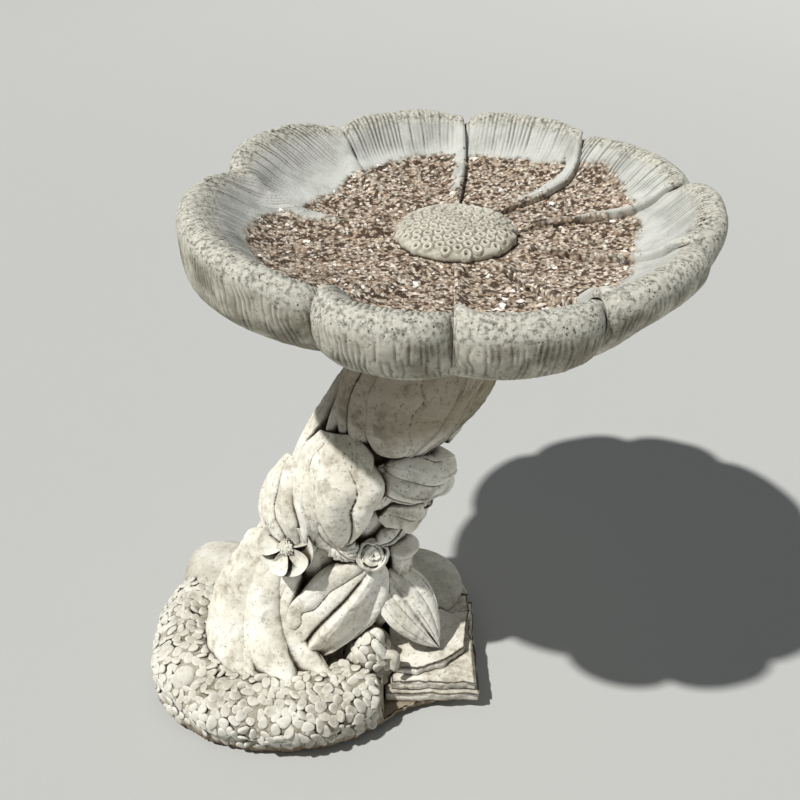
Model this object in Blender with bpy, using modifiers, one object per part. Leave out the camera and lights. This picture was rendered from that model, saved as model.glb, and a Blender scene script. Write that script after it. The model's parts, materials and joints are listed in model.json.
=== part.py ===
"""Cast-stone garden bird bath: a flower-shaped bowl on a leaning stem of leaves and
flowers, standing on a cobbled and slated rock base. Metres, +Z up, origin on the
ground under the middle of the base, +X right and +Y to the back."""

import math

import bmesh
import bpy
from mathutils import Matrix, Vector

# Overall
RIM_HEIGHT = 0.474
BOWL_RADIUS = 0.210
BOWL_OFFSET_X = 0.126
BOWL_OFFSET_Y = 0.042
BASE_WIDTH = 0.322
BASE_DEPTH = 0.252

# Bowl
BOWL_HEIGHT = 0.090
BOWL_HOLLOW = 0.040
SEAT_RADIUS = 0.060
LIP_THICKNESS = 0.028
NOTCH_DROP = 0.009
NOTCH_CUT = 0.065
PETAL_RIDGE = 0.0035
SEED_HEAD_RADIUS = 0.049
SEED_HEAD_HEIGHT = 0.014
# Each petal: the angle of its first edge, how far its tip stands above the rim, how far
# it reaches past the bowl's radius, and how far its underside bellies out.
PETALS = (
    (-122, -0.003, 0.004, 0.006),
    (-93, -0.004, 0.003, 0.003),
    (-62, 0.003, -0.003, -0.012),
    (-26, 0.006, -0.002, -0.018),
    (9, -0.004, -0.002, -0.010),
    (52, 0.001, 0.000, 0.000),
    (86, 0.002, 0.000, 0.000),
    (123, 0.008, 0.006, 0.000),
    (163, 0.010, 0.010, 0.012),
)
BOWL_STEPS = 60

# Locating pin and reinforcing rod
PIN_RADIUS = 0.008
PIN_LENGTH = 0.046
PIN_CLEARANCE = 0.0005
ROD_RADIUS = 0.004
ROD_FOOT = Vector((0.030, 0.010))
ROD_TOP_SHARE = 0.74

# Base
SLAB_THICKNESS = 0.034
BANK_SQUASH = 0.62
SLATE_THICKNESS = 0.011
SLATE_BED = 0.012
SLATE_WIDTH = 0.090
SLATE_DEPTH = 0.120
SLATE_PROUD = 0.0015
SLATE_CORNER_SHARE = -0.60
SLATE_SIDE_SHARE = 0.96

STEM_SIDES = 12
LEAF_SECTIONS = 5
LEAF_THICKNESS = 0.009
LEAF_CUP = 0.005
LEAF_FULLEST = 0.8
LEAF_KEEL = 1.5

GAP = 0.0003

STEM_TOP = RIM_HEIGHT - BOWL_HEIGHT - GAP
BOWL_AXIS = Vector((BOWL_OFFSET_X, BOWL_OFFSET_Y))
UP = Vector((0, 0, 1))

# Share of the stem's height, centre x and y, half width and half depth, all in metres
# but the first. The foot flares to the left as roots.
STEM_STATIONS = (
    (0.00, -0.012, 0.022, 0.104, 0.062),
    (0.12, -0.008, 0.022, 0.100, 0.062),
    (0.26, 0.003, 0.022, 0.088, 0.056),
    (0.40, 0.022, 0.021, 0.074, 0.051),
    (0.55, 0.047, 0.020, 0.061, 0.050),
    (0.68, 0.070, 0.021, 0.055, 0.050),
    (0.82, 0.090, 0.026, 0.051, 0.050),
    (1.00, 0.110, 0.035, 0.050, 0.050),
)
# Outline of the base, as shares of its half width and half depth, round from the right
BASE_OUTLINE = (
    (0.98, -0.10), (1.02, 0.28), (0.97, 0.64), (0.76, 0.95), (0.34, 1.05), (-0.14, 1.04),
    (-0.60, 0.97), (-0.93, 0.68), (-1.03, 0.14), (-1.04, -0.42), (-0.88, -0.84),
    (-0.38, -1.11), (0.12, -1.06), (0.42, -0.84), (0.60, SLATE_CORNER_SHARE),
    (SLATE_SIDE_SHARE, SLATE_CORNER_SHARE),
)


def clear_scene():
    for obj in list(bpy.data.objects):
        bpy.data.objects.remove(obj, do_unlink=True)


def collection(name):
    made = bpy.data.collections.new(name)
    bpy.context.scene.collection.children.link(made)
    return made


def stone(name, colour, roughness=0.9):
    made = bpy.data.materials.new(name)
    made.use_nodes = True
    shader = made.node_tree.nodes["Principled BSDF"]
    shader.inputs["Base Color"].default_value = (*colour, 1)
    shader.inputs["Roughness"].default_value = roughness
    return made


def steel(name):
    made = stone(name, (0.36, 0.31, 0.27), 0.55)
    made.node_tree.nodes["Principled BSDF"].inputs["Metallic"].default_value = 1.0
    return made


def mesh_object(name, mesh, home):
    obj = bpy.data.objects.new(name, mesh)
    home.objects.link(obj)
    return obj


def evaluated_mesh(obj):
    bpy.context.view_layer.update()
    graph = bpy.context.evaluated_depsgraph_get()
    return bpy.data.meshes.new_from_object(obj.evaluated_get(graph))


def freeze(obj):
    """Applies the object's modifiers and matrix, as triangles that every cut shares."""
    mesh = evaluated_mesh(obj)
    mesh.transform(obj.matrix_world)
    work = bmesh.new()
    work.from_mesh(mesh)
    bmesh.ops.remove_doubles(work, verts=work.verts, dist=1e-6)
    bmesh.ops.recalc_face_normals(work, faces=work.faces)
    bmesh.ops.triangulate(work, faces=work.faces)
    work.to_mesh(mesh)
    work.free()
    obj.modifiers.clear()
    obj.matrix_world = Matrix.Identity(4)
    obj.data = mesh
    return obj


def loft(name, rings, home, levels=1):
    """A closed skin over rings of equally many points, smoothed by subdivision."""
    work = bmesh.new()
    made = [[work.verts.new(point) for point in ring] for ring in rings]
    count = len(made[0])
    for low, high in zip(made, made[1:]):
        for i in range(count):
            j = (i + 1) % count
            work.faces.new((low[i], low[j], high[j], high[i]))
    work.faces.new(list(reversed(made[0])))
    work.faces.new(made[-1])
    mesh = bpy.data.meshes.new(name)
    work.to_mesh(mesh)
    work.free()
    mesh.shade_smooth()
    obj = mesh_object(name, mesh, home)
    if levels:
        smooth = obj.modifiers.new("Smooth", "SUBSURF")
        smooth.levels = levels
        smooth.render_levels = levels
    return obj


def turned(name, profile, steps, home):
    """A solid of revolution about +Z from (radius, height) points, top to bottom."""
    mesh = bpy.data.meshes.new(name)
    points = [(radius, 0, height) for radius, height in profile]
    mesh.from_pydata(points, [(i, i + 1) for i in range(len(points) - 1)], [])
    obj = mesh_object(name, mesh, home)
    screw = obj.modifiers.new("Turn", "SCREW")
    screw.steps = steps
    screw.render_steps = steps
    screw.use_merge_vertices = True
    screw.merge_threshold = 0.00001
    return obj


def cylinder(name, start, end, radius, segments, home):
    span = end - start
    work = bmesh.new()
    bmesh.ops.create_cone(
        work, cap_ends=True, segments=segments, radius1=radius, radius2=radius, depth=span.length
    )
    mesh = bpy.data.meshes.new(name)
    work.to_mesh(mesh)
    work.free()
    obj = mesh_object(name, mesh, home)
    turn = UP.rotation_difference(span.normalized()).to_matrix().to_4x4()
    obj.matrix_world = Matrix.Translation((start + end) / 2) @ turn
    return obj


def cut(obj, other, solver="EXACT"):
    step = obj.modifiers.new("Cut", "BOOLEAN")
    step.operation = "DIFFERENCE"
    step.solver = solver
    step.object = other


def cutter(obj):
    obj.hide_render = True
    obj.display_type = "WIRE"
    return obj


# Bowl -----------------------------------------------------------------------


def petal_at(angle):
    """An angle's share of its petal, and that petal's tip height, reach and belly."""
    first = PETALS[0][0]
    degrees = first + (math.degrees(angle) - first) % 360
    edges = [petal[0] for petal in PETALS] + [first + 360]
    for petal, low, high in zip(PETALS, edges, edges[1:]):
        if low <= degrees < high:
            return (degrees - low) / (high - low), *petal[1:]
    return 0.0, *PETALS[0][1:]


def shape_petals(mesh, floor):
    """Draws the round bowl in at the notches and lets each petal's edge stand proud."""
    for vertex in mesh.vertices:
        x, y, z = vertex.co
        reach = math.hypot(x, y)
        share, tip, reach_more, belly = petal_at(math.atan2(y, x))
        lobe = 1 - abs(2 * share - 1) ** 3.5
        middle = math.sin(math.pi * share)
        outward = min(1, max(0, (reach / BOWL_RADIUS - 0.45) / 0.55))
        upper = min(1, max(0, (z - floor + 0.03) / 0.05))
        low_wall = math.exp(-(((z - RIM_HEIGHT + 0.05) / 0.016) ** 2)) * outward
        push = (reach_more * outward**2 + belly * low_wall) * middle
        pull = 1 - NOTCH_CUT * (1 - lobe) * outward**2 + push / max(reach, 0.001)
        ridge = PETAL_RIDGE * max(0, share - 0.8) / 0.2 * outward * upper
        lift = (tip * lobe - NOTCH_DROP * (1 - lobe)) * outward**3 * upper
        vertex.co = (x * pull, y * pull, z + lift + ridge)


def bowl_profile():
    rim = RIM_HEIGHT
    floor = RIM_HEIGHT - BOWL_HOLLOW
    under = RIM_HEIGHT - BOWL_HEIGHT
    radius = BOWL_RADIUS
    lip = LIP_THICKNESS
    inside = (
        (0, floor),
        (SEED_HEAD_RADIUS + 0.006, floor),
        (radius - 0.105, floor + 0.002),
        (radius - 0.065, floor + 0.008),
        (radius - 0.045, floor + 0.016),
        (radius - lip - 0.006, floor + 0.028),
    )
    crest = [
        (
            radius - lip / 2 + lip / 2 * math.cos(math.radians(a)),
            rim - lip / 2 + lip / 2 * math.sin(math.radians(a)),
        )
        for a in (150, 110, 75, 40, 0)
    ]
    outside = (
        (radius - 0.003, rim - 0.032),
        (radius - 0.014, rim - 0.049),
        (radius - 0.030, rim - 0.062),
        (radius - 0.060, rim - 0.074),
        (SEAT_RADIUS + 0.040, under + 0.008),
        (SEAT_RADIUS + 0.010, under),
        (0, under),
    )
    return (*inside, *crest, *outside)


def make_bowl(home, tools):
    floor = RIM_HEIGHT - BOWL_HOLLOW
    bowl = freeze(turned("flower_bowl", bowl_profile(), BOWL_STEPS, home))
    shape_petals(bowl.data, floor)
    bowl.data.transform(Matrix.Translation((*BOWL_AXIS, 0)))
    bowl.data.shade_smooth()
    under = RIM_HEIGHT - BOWL_HEIGHT
    start = Vector((*BOWL_AXIS, under - 0.01))
    end = Vector((*BOWL_AXIS, under + PIN_LENGTH / 2))
    socket = cylinder("bowl_socket", start, end, PIN_RADIUS + PIN_CLEARANCE, 24, tools)
    cut(bowl, cutter(socket))
    return bowl


def make_seed_head(home):
    base = RIM_HEIGHT - BOWL_HOLLOW + GAP
    radius = SEED_HEAD_RADIUS
    rise = SEED_HEAD_HEIGHT
    dome = [
        (radius * math.sin(math.radians(a)), base + 0.003 + (rise - 0.003) * math.cos(math.radians(a)))
        for a in range(0, 91, 15)
    ]
    head = freeze(turned("seed_head", (*dome, (radius - 0.002, base), (0, base)), 24, home))
    head.data.transform(Matrix.Translation((*BOWL_AXIS, 0)))
    head.data.shade_smooth()
    return head


# Stem -----------------------------------------------------------------------


def stem_at(share):
    """Centre x, y and half width, half depth of the stem at a share of its height."""
    for low, high in zip(STEM_STATIONS, STEM_STATIONS[1:]):
        if share <= high[0]:
            mix = (share - low[0]) / (high[0] - low[0])
            return [a + (b - a) * mix for a, b in zip(low[1:], high[1:])]
    return list(STEM_STATIONS[-1][1:])


def stem_point(share, azimuth, out=0.0):
    """A point on the stem: azimuth in degrees, 0 to the right and 270 to the front."""
    cx, cy, rx, ry = stem_at(share)
    a = math.radians(azimuth)
    return Vector(
        (cx + (rx + out) * math.cos(a), cy + (ry + out) * math.sin(a), share * STEM_TOP)
    )


def stem_ring(share, scale=1.0, lobes=0.0):
    ring = []
    cx, cy = stem_at(share)[:2]
    for i in range(STEM_SIDES):
        a = 360 * i / STEM_SIDES
        swell = scale * (1 + lobes * math.cos(math.radians(3 * a + 500 * share)))
        point = stem_point(share, a)
        ring.append(((point.x - cx) * swell + cx, (point.y - cy) * swell + cy, point.z))
    return ring


def make_stem(home):
    rings = [stem_ring(0.03, 0.6), stem_ring(0.05)]
    rings += [stem_ring(share, 1.0, 0.035) for share in (0.14, 0.28, 0.42, 0.56, 0.70, 0.84)]
    rings += [stem_ring(0.96), stem_ring(1.0, 1.0), stem_ring(1.0, 0.84)]
    return loft("stem", rings, home)


def bore_for_pin_and_rod(stem, tools, rod_hole):
    top = Vector((*BOWL_AXIS, STEM_TOP + 0.01))
    foot = Vector((*BOWL_AXIS, STEM_TOP - PIN_LENGTH / 2 - GAP))
    socket = cylinder("stem_socket", foot, top, PIN_RADIUS + PIN_CLEARANCE, 24, tools)
    cut(stem, cutter(socket))
    cut(stem, rod_hole)


def rod_line():
    cx, cy = stem_at(ROD_TOP_SHARE)[:2]
    return Vector((*ROD_FOOT, 0.002)), Vector((cx, cy, ROD_TOP_SHARE * STEM_TOP))


def make_rod(home):
    foot, top = rod_line()
    return cylinder("reinforcing_rod", foot, top, ROD_RADIUS, 12, home)


def make_rod_hole(tools):
    foot, top = rod_line()
    along = (top - foot).normalized()
    end = top + along * GAP
    hole = cylinder("rod_hole", foot - along * 0.02, end, ROD_RADIUS + GAP, 12, tools)
    return cutter(hole)


def make_pin(home):
    foot = Vector((*BOWL_AXIS, STEM_TOP - PIN_LENGTH / 2))
    top = Vector((*BOWL_AXIS, STEM_TOP + PIN_LENGTH / 2 - GAP))
    return cylinder("locating_pin", foot, top, PIN_RADIUS, 24, home)


# Seating --------------------------------------------------------------------


def grown_copy(obj, home):
    """The object's solid, its skin moved out by the clearance."""
    mesh = evaluated_mesh(obj)
    mesh.transform(obj.matrix_world)
    moved = [vertex.co + vertex.normal * GAP * 1.3 for vertex in mesh.vertices]
    for vertex, place in zip(mesh.vertices, moved):
        vertex.co = place
    return mesh_object(obj.name + "_clearance", mesh, home)


def corners(obj):
    points = [obj.matrix_world @ vertex.co for vertex in evaluated_mesh(obj).vertices]
    low = [min(point[i] for point in points) for i in range(3)]
    high = [max(point[i] for point in points) for i in range(3)]
    return low, high


def boxes_meet(one, two):
    (low_a, high_a), (low_b, high_b) = corners(one), corners(two)
    return all(low_a[i] < high_b[i] + GAP and low_b[i] < high_a[i] + GAP for i in range(3))


def keep_largest_body(mesh):
    """Drops the crumbs that a clearance cut leaves beside the main body."""
    work = bmesh.new()
    work.from_mesh(mesh)
    loose = set(work.verts)
    groups = []
    while loose:
        front = [loose.pop()]
        group = set(front)
        while front:
            vertex = front.pop()
            near = {edge.other_vert(vertex) for edge in vertex.link_edges} - group
            group |= near
            front.extend(near)
        loose -= group
        groups.append(group)
    groups.sort(key=body_size)
    for group in groups[:-1]:
        bmesh.ops.delete(work, geom=list(group), context="VERTS")
    work.to_mesh(mesh)
    work.free()


def body_size(group):
    spans = [[vertex.co[i] for vertex in group] for i in range(3)]
    return sum(max(span) - min(span) for span in spans)


def seat(obj, placed, home):
    """Cuts the piece clear of each one already placed, so that it rests on them."""
    obj = freeze(obj)
    for other in placed:
        if not boxes_meet(obj, other):
            continue
        room = grown_copy(other, home)
        cut(obj, room, "MANIFOLD")
        freeze(obj)
        bpy.data.objects.remove(room, do_unlink=True)
        keep_largest_body(obj.data)
    obj.data.shade_smooth()
    obj.data.set_sharp_from_angle(angle=math.radians(50))
    placed.append(obj)
    return obj


# Ornament shapes ------------------------------------------------------------


def bent_path(root, tip, facing, arch, count):
    """Points from root to tip that bow out by arch in the facing direction."""
    found = []
    for i in range(count):
        s = i / (count - 1)
        found.append(root.lerp(tip, s) + facing * arch * math.sin(math.pi * s))
    return found


def leaf(name, root, tip, facing, width, home, arch=0.003, cup=LEAF_CUP, keel=LEAF_KEEL):
    """An almond-shaped leaf with a sunk midrib, its edges cupped towards its seat, on a keel of stone."""
    facing = facing.normalized()
    path = bent_path(root, tip, facing, arch, LEAF_SECTIONS)
    rings = []
    for i, centre in enumerate(path):
        s = 0.04 + 0.92 * i / (len(path) - 1)
        half = width / 2 * math.sin(math.pi * s**LEAF_FULLEST) ** 0.55
        along = (path[min(i + 1, len(path) - 1)] - path[max(i - 1, 0)]).normalized()
        side = along.cross(facing).normalized()
        out = side.cross(along)
        drop = cup * (2 * half / width) ** 2
        body = LEAF_THICKNESS * (0.55 + 0.45 * math.sin(math.pi * s))
        across = (
            (-1.0, -drop), (-0.5, 0.32 * body - drop * 0.3), (0.0, 0.20 * body),
            (0.5, 0.32 * body - drop * 0.3), (1.0, -drop), (0.0, -keel * body),
        )
        rings.append([centre + side * half * a + out * b for a, b in across])
    return loft(name, rings, home)


def fold(name, points, radii, facing, home, squash=0.7):
    """A rounded ridge of cast stone that follows hand-set points."""
    rings = []
    for i, (centre, radius) in enumerate(zip(points, radii)):
        along = (points[min(i + 1, len(points) - 1)] - points[max(i - 1, 0)]).normalized()
        side = along.cross(facing).normalized()
        out = side.cross(along)
        rings.append(
            [
                centre
                + side * radius * math.cos(math.pi * k / 3)
                + out * radius * squash * math.sin(math.pi * k / 3)
                for k in range(6)
            ]
        )
    return loft(name, rings, home)


def blossom(name, centre, facing, radius, petals, depth, home, cup=0.3, cut=0.3):
    """A flat lobed flower, dished in the middle, on a short body that sinks into its seat."""
    facing = facing.normalized()
    side = UP.cross(facing).normalized()
    rise = facing.cross(side)
    count = petals * 4
    rings = []
    profile = ((0.35, -1.0), (0.6, -0.5), (1.0, -0.1), (0.96, cup), (0.4, cup * 0.5), (0.15, 0.0))
    for share, height in profile:
        ring = []
        for i in range(count):
            a = 2 * math.pi * i / count
            lobe = 1 - cut * (1 - abs(math.sin(petals * a / 2)) ** 0.7) * share
            reach = radius * share * lobe
            way = side * math.cos(a) + rise * math.sin(a)
            ring.append(centre + way * reach + facing * depth * height)
        rings.append(ring)
    return loft(name, rings, home, levels=0)


def knob(name, centre, facing, radius, rise, home, squash=1.0, sides=10, levels=1, root=None):
    """A rounded boss from a smoothed cage on the facing axis, root deep below its centre."""
    facing = facing.normalized()
    side = (UP if abs(facing.z) < 0.9 else Vector((1, 0, 0))).cross(facing).normalized()
    other = facing.cross(side)
    rings = []
    depth = rise if root is None else root
    lifts = (-depth, -0.35 * depth, 0.35 * rise, 0.85 * rise, rise)
    for share, lift in zip((0.7, 1.0, 0.95, 0.6, 0.2), lifts):
        rings.append(
            [
                centre
                + side * radius * share * math.cos(2 * math.pi * k / sides)
                + other * radius * squash * share * math.sin(2 * math.pi * k / sides)
                + facing * lift
                for k in range(sides)
            ]
        )
    return loft(name, rings, home, levels)


def stem_facing(azimuth, tilt=0.0):
    """A way out of the stem at an azimuth in degrees."""
    a = math.radians(azimuth)
    return Vector((math.cos(a), math.sin(a), tilt)).normalized()


# Base -----------------------------------------------------------------------


def base_ring(scale, height):
    return [(x * scale * BASE_WIDTH / 2, y * scale * BASE_DEPTH / 2, height) for x, y in BASE_OUTLINE]


def make_slab(home, tools):
    top = SLAB_THICKNESS
    rings = [base_ring(0.85, 0), base_ring(1, 0), base_ring(1, top * 0.35), base_ring(0.985, top * 0.8)]
    rings += [base_ring(0.9, top), base_ring(0.6, top + 0.003), base_ring(0.3, top + 0.004)]
    slab = freeze(loft("base_slab", rings, home))
    left, front, right, back = slate_plan()
    low = Vector((left - GAP, front - 0.02, SLATE_BED - GAP))
    high = Vector((right + 0.02, back + GAP, top + 0.02))
    work = bmesh.new()
    bmesh.ops.create_cube(work, size=1)
    mesh = bpy.data.meshes.new("slate_recess")
    work.to_mesh(mesh)
    work.free()
    recess = mesh_object("slate_recess", mesh, tools)
    recess.matrix_world = Matrix.Translation((low + high) / 2) @ Matrix.Diagonal((*(high - low), 1))
    cut(slab, cutter(recess))
    return slab


def slate(name, outline, bottom, thick, home):
    """A flat sheet of stone from its outline, with a worn edge."""
    curve = bpy.data.curves.new(name, "CURVE")
    curve.dimensions = "2D"
    curve.fill_mode = "BOTH"
    curve.extrude = thick / 2 - 0.0015
    curve.bevel_depth = 0.0015
    curve.bevel_resolution = 0
    curve.offset = -0.0015
    spline = curve.splines.new("POLY")
    spline.points.add(len(outline) - 1)
    for point, (x, y) in zip(spline.points, outline):
        point.co = (x, y, 0, 1)
    spline.use_cyclic_u = True
    obj = bpy.data.objects.new(name, curve)
    home.objects.link(obj)
    obj.location = (0, 0, bottom + thick / 2)
    bpy.context.view_layer.update()
    mesh = evaluated_mesh(obj)
    mesh.transform(obj.matrix_world)
    bpy.data.objects.remove(obj, do_unlink=True)
    return freeze(mesh_object(name, mesh, home))


def slate_plan():
    """Left, front, right and back of the stack of slates."""
    right = SLATE_SIDE_SHARE * BASE_WIDTH / 2 + SLATE_PROUD
    front = SLATE_CORNER_SHARE * BASE_DEPTH / 2 - SLATE_PROUD
    return right - SLATE_WIDTH, front, right, front + SLATE_DEPTH


def make_slates(home):
    left, front, right, back = slate_plan()
    step = SLATE_THICKNESS + GAP
    lowest = SLATE_BED
    square = ((left, front), (right, front), (right, back), (left, back))
    inset = (
        (left + 0.006, front + 0.004), (right - 0.003, front + 0.003), (right - 0.005, back), (left, back),
    )
    torn = (
        (left + 0.004, front + 0.014), (left + 0.03, front + 0.012), (left + 0.058, front + 0.022),
        (right - 0.012, front + 0.040), (right - 0.009, front + 0.062), (right - 0.004, front + 0.090),
        (right - 0.02, front + 0.086), (right - 0.034, front + 0.092), (right - 0.05, front + 0.082),
        (left, front + 0.088),
    )
    return [
        slate("slate_lower", square, lowest, SLATE_THICKNESS, home),
        slate("slate_middle", inset, lowest + step, SLATE_THICKNESS, home),
        slate("slate_top", torn, lowest + 2 * step, SLATE_THICKNESS * 0.8, home),
    ]


def make_ground_stones(home):
    """Boulders, the cobbled bank and the mound, each drawn down into the slab."""
    top = SLAB_THICKNESS
    half_width = BASE_WIDTH / 2
    half_depth = BASE_DEPTH / 2
    bank = [
        Vector((-0.70 * half_width, 0.55 * half_depth, top)),
        Vector((-0.80 * half_width, 0.05 * half_depth, top)),
        Vector((-0.74 * half_width, -0.42 * half_depth, top)),
        Vector((-0.48 * half_width, -0.72 * half_depth, top)),
        Vector((-0.14 * half_width, -0.80 * half_depth, top)),
        Vector((0.16 * half_width, -0.72 * half_depth, top)),
        Vector((0.34 * half_width, -0.50 * half_depth, top)),
    ]
    widths = (0.022, 0.030, 0.034, 0.036, 0.036, 0.032, 0.028)
    disc = Vector((-0.70 * half_width, -0.60 * half_depth, top + 0.010))
    return [
        knob("back_boulder", Vector((0.56 * half_width, 0.42 * half_depth, top)), UP, 0.062, 0.017, home),
        knob("left_boulder", Vector((-0.66 * half_width, 0.60 * half_depth, top)), UP, 0.044, 0.022, home),
        knob("cobble_mound", Vector((0.33 * half_width, -0.36 * half_depth, top)), UP, 0.030, 0.042, home),
        fold("cobble_bank", bank, widths, UP, home, BANK_SQUASH),
        knob("smooth_cobble", disc, UP, 0.019, 0.008, home),
    ]


# Ornaments ------------------------------------------------------------------


def make_roots(home):
    """Drapery-like roots that run from the stem's left side down over the base."""
    top = SLAB_THICKNESS
    front = Vector((-0.5, -0.6, 0.6)).normalized()
    runs = {
        "root_fold_outer": (
            ((0.36, 205), (0.24, 212)),
            ((-0.098, -0.034), (-0.078, -0.068), (-0.052, -0.086)),
            (0.018, 0.024, 0.026, 0.024, 0.016),
        ),
        "root_fold_middle": (
            ((0.36, 224), (0.22, 226)),
            ((-0.060, -0.052), (-0.034, -0.078), (-0.010, -0.090)),
            (0.012, 0.020, 0.024, 0.022, 0.014),
        ),
        "root_fold_inner": (
            ((0.32, 246), (0.19, 246)),
            ((-0.026, -0.052), (-0.004, -0.064), (0.014, -0.074)),
            (0.011, 0.017, 0.019, 0.017, 0.012),
        ),
    }
    made = []
    for name, (on_stem, on_base, radii) in runs.items():
        points = [stem_point(share, azimuth) for share, azimuth in on_stem]
        points += [Vector((x, y, top + 0.012 - 0.003 * i)) for i, (x, y) in enumerate(on_base)]
        made.append(fold(name, points, radii, front, home))
    return made


# name: root (share, azimuth, out), tip (share, azimuth, out), width, arch
STEM_LEAVES = {
    "neck_lobe": ((0.985, 226, 0.000), (0.720, 243, 0.002), 0.060, 0.006),
    "neck_drape": ((0.985, 296, 0.002), (0.715, 281, 0.002), 0.086, 0.010),
    "neck_right_fold": ((0.970, 340, 0.004), (0.730, 322, 0.004), 0.060, 0.010),
    "neck_back_leaf": ((0.930, 20, 0.000), (0.660, 352, 0.002), 0.062, 0.008),
    "knuckle_leaf": ((0.665, 272, 0.001), (0.610, 352, 0.010), 0.050, 0.020),
    "veined_leaf": ((0.665, 290, 0.001), (0.545, 259, 0.002), 0.046, 0.005),
    "upper_left_leaf": ((0.725, 205, 0.006), (0.460, 264, 0.003), 0.062, 0.014),
    "outer_left_leaf": ((0.650, 190, 0.016), (0.430, 246, 0.004), 0.066, 0.014),
    "crescent_petal": ((0.545, 288, 0.003), (0.500, 322, 0.008), 0.024, 0.008),
    "petal_tip": ((0.530, 327, 0.002), (0.450, 322, 0.008), 0.030, 0.005),
    "rose_side_leaf": ((0.455, 266, 0.003), (0.400, 292, 0.007), 0.026, 0.004),
    "bud_leaf": ((0.475, 310, 0.004), (0.430, 290, 0.006), 0.022, 0.004),
    "lower_left_leaf": ((0.380, 293, 0.006), (0.115, 264, 0.016), 0.074, 0.014),
    "back_leaf": ((0.620, 95, 0.000), (0.340, 100, 0.002), 0.070, 0.008),
    "back_left_leaf": ((0.820, 140, 0.000), (0.500, 150, 0.002), 0.064, 0.008),
}


def make_stem_leaves(home):
    made = []
    for name, (root, tip, width, arch) in STEM_LEAVES.items():
        across_zero = abs(root[1] - tip[1]) > 180
        facing = stem_facing((root[1] + tip[1]) / 2 + (180 if across_zero else 0))
        made.append(leaf(name, stem_point(*root), stem_point(*tip), facing, width, home, arch=arch))
    return made


def make_low_leaf(home):
    root = stem_point(0.325, 312, 0.004)
    tip = Vector((0.118, -0.040, SLAB_THICKNESS + 0.020))
    facing = Vector((0.25, -0.75, 0.62))
    return leaf("lower_right_leaf", root, tip, facing, 0.050, home, arch=0.008, cup=0.006)


def make_flowers(home):
    """The open flower, the two roses, the disc leaf and the cut trunk stub."""
    flower_way = stem_facing(245, 0.35)
    flower = stem_point(0.425, 232, 0.010)
    rose_way = stem_facing(285, 0.30)
    rose = stem_point(0.405, 297, 0.009)
    shaded_way = stem_facing(300, 0.15)
    shaded = stem_point(0.553, 320, 0.006)
    disc = stem_point(0.545, 345, 0.014)
    stub = [stem_point(share, 328, 0.000) for share in (0.385, 0.345, 0.25, 0.17)]
    return [
        blossom("open_flower", flower, flower_way, 0.0245, 5, 0.009, home),
        knob(
            "open_flower_heart", flower + flower_way * 0.003, flower_way, 0.008, 0.005, home,
            sides=12, levels=0,
        ),
        blossom("front_rose", rose, rose_way, 0.0135, 5, 0.010, home, 0.35, 0.12),
        knob(
            "front_rose_bud", rose + rose_way * 0.004, rose_way, 0.008, 0.005, home,
            sides=12, levels=0,
        ),
        blossom("shaded_rose", shaded, shaded_way, 0.0115, 5, 0.008, home, 0.35, 0.12),
        knob("round_leaf", disc, stem_facing(300, 0.2), 0.0125, 0.008, home, root=0.024),
        fold("trunk_stub", stub, (0.017, 0.014, 0.014, 0.016), stem_facing(328), home, 0.8),
    ]


def make_neck_roll(home):
    points = [stem_point(share, 203, 0.001) for share in (0.87, 0.80, 0.74, 0.69)]
    return fold("neck_roll", points, (0.007, 0.010, 0.010, 0.006), stem_facing(203), home)


def make_sprig(home):
    half_width = BASE_WIDTH / 2
    half_depth = BASE_DEPTH / 2
    top = SLAB_THICKNESS
    points = [
        Vector((0.33 * half_width, -0.38 * half_depth, top + 0.040)),
        Vector((0.38 * half_width, -0.44 * half_depth, top + 0.036)),
        Vector((0.42 * half_width, -0.50 * half_depth, top + 0.028)),
        Vector((0.45 * half_width, -0.54 * half_depth, top + 0.018)),
    ]
    return fold("curled_sprig", points, (0.004, 0.005, 0.005, 0.004), Vector((0.4, -0.6, 0.7)), home, 1.0)


BOWL_STONE = ("bowl_stone", (0.60, 0.56, 0.48))
HEART_STONE = ("seed_head_stone", (0.55, 0.52, 0.46))
STEM_STONE = ("stem_stone", (0.78, 0.75, 0.66))
COBBLE_STONE = ("cobble_stone", (0.66, 0.62, 0.54))
SLATE_STONE = ("slate_stone", (0.62, 0.58, 0.50))
BASE_STONE = ("base_stone", (0.56, 0.50, 0.42))


def dress(objects, finish):
    made = stone(*finish)
    for obj in objects:
        obj.data.materials.clear()
        obj.data.materials.append(made)


def main():
    clear_scene()
    home = collection("bird_bath")
    tools = collection("cutters")
    tools.hide_render = True
    rod_hole = make_rod_hole(tools)
    rod = make_rod(home)
    pin = make_pin(home)
    bowl = make_bowl(home, tools)
    seed_head = make_seed_head(home)
    placed = [bowl]
    slates = [seat(piece, placed, home) for piece in make_slates(home)]
    slab = make_slab(home, tools)
    placed.append(slab)
    stones = [seat(piece, placed, home) for piece in make_ground_stones(home)]
    stem = seat(make_stem(home), placed, home)
    cut(slab, rod_hole)
    bore_for_pin_and_rod(stem, tools, rod_hole)
    growth = [seat(piece, placed, home) for piece in make_roots(home)]
    growth += [seat(piece, placed, home) for piece in make_stem_leaves(home)]
    growth.append(seat(make_low_leaf(home), placed, home))
    growth += [seat(piece, placed, home) for piece in make_flowers(home)]
    growth.append(seat(make_neck_roll(home), placed, home))
    growth.append(seat(make_sprig(home), placed, home))
    dress([bowl], BOWL_STONE)
    dress([seed_head], HEART_STONE)
    dress([stem, *growth], STEM_STONE)
    dress(stones, COBBLE_STONE)
    dress(slates, SLATE_STONE)
    dress([slab], BASE_STONE)
    for bar in (pin, rod):
        bar.data.materials.append(steel(bar.name + "_steel"))


main()
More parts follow.
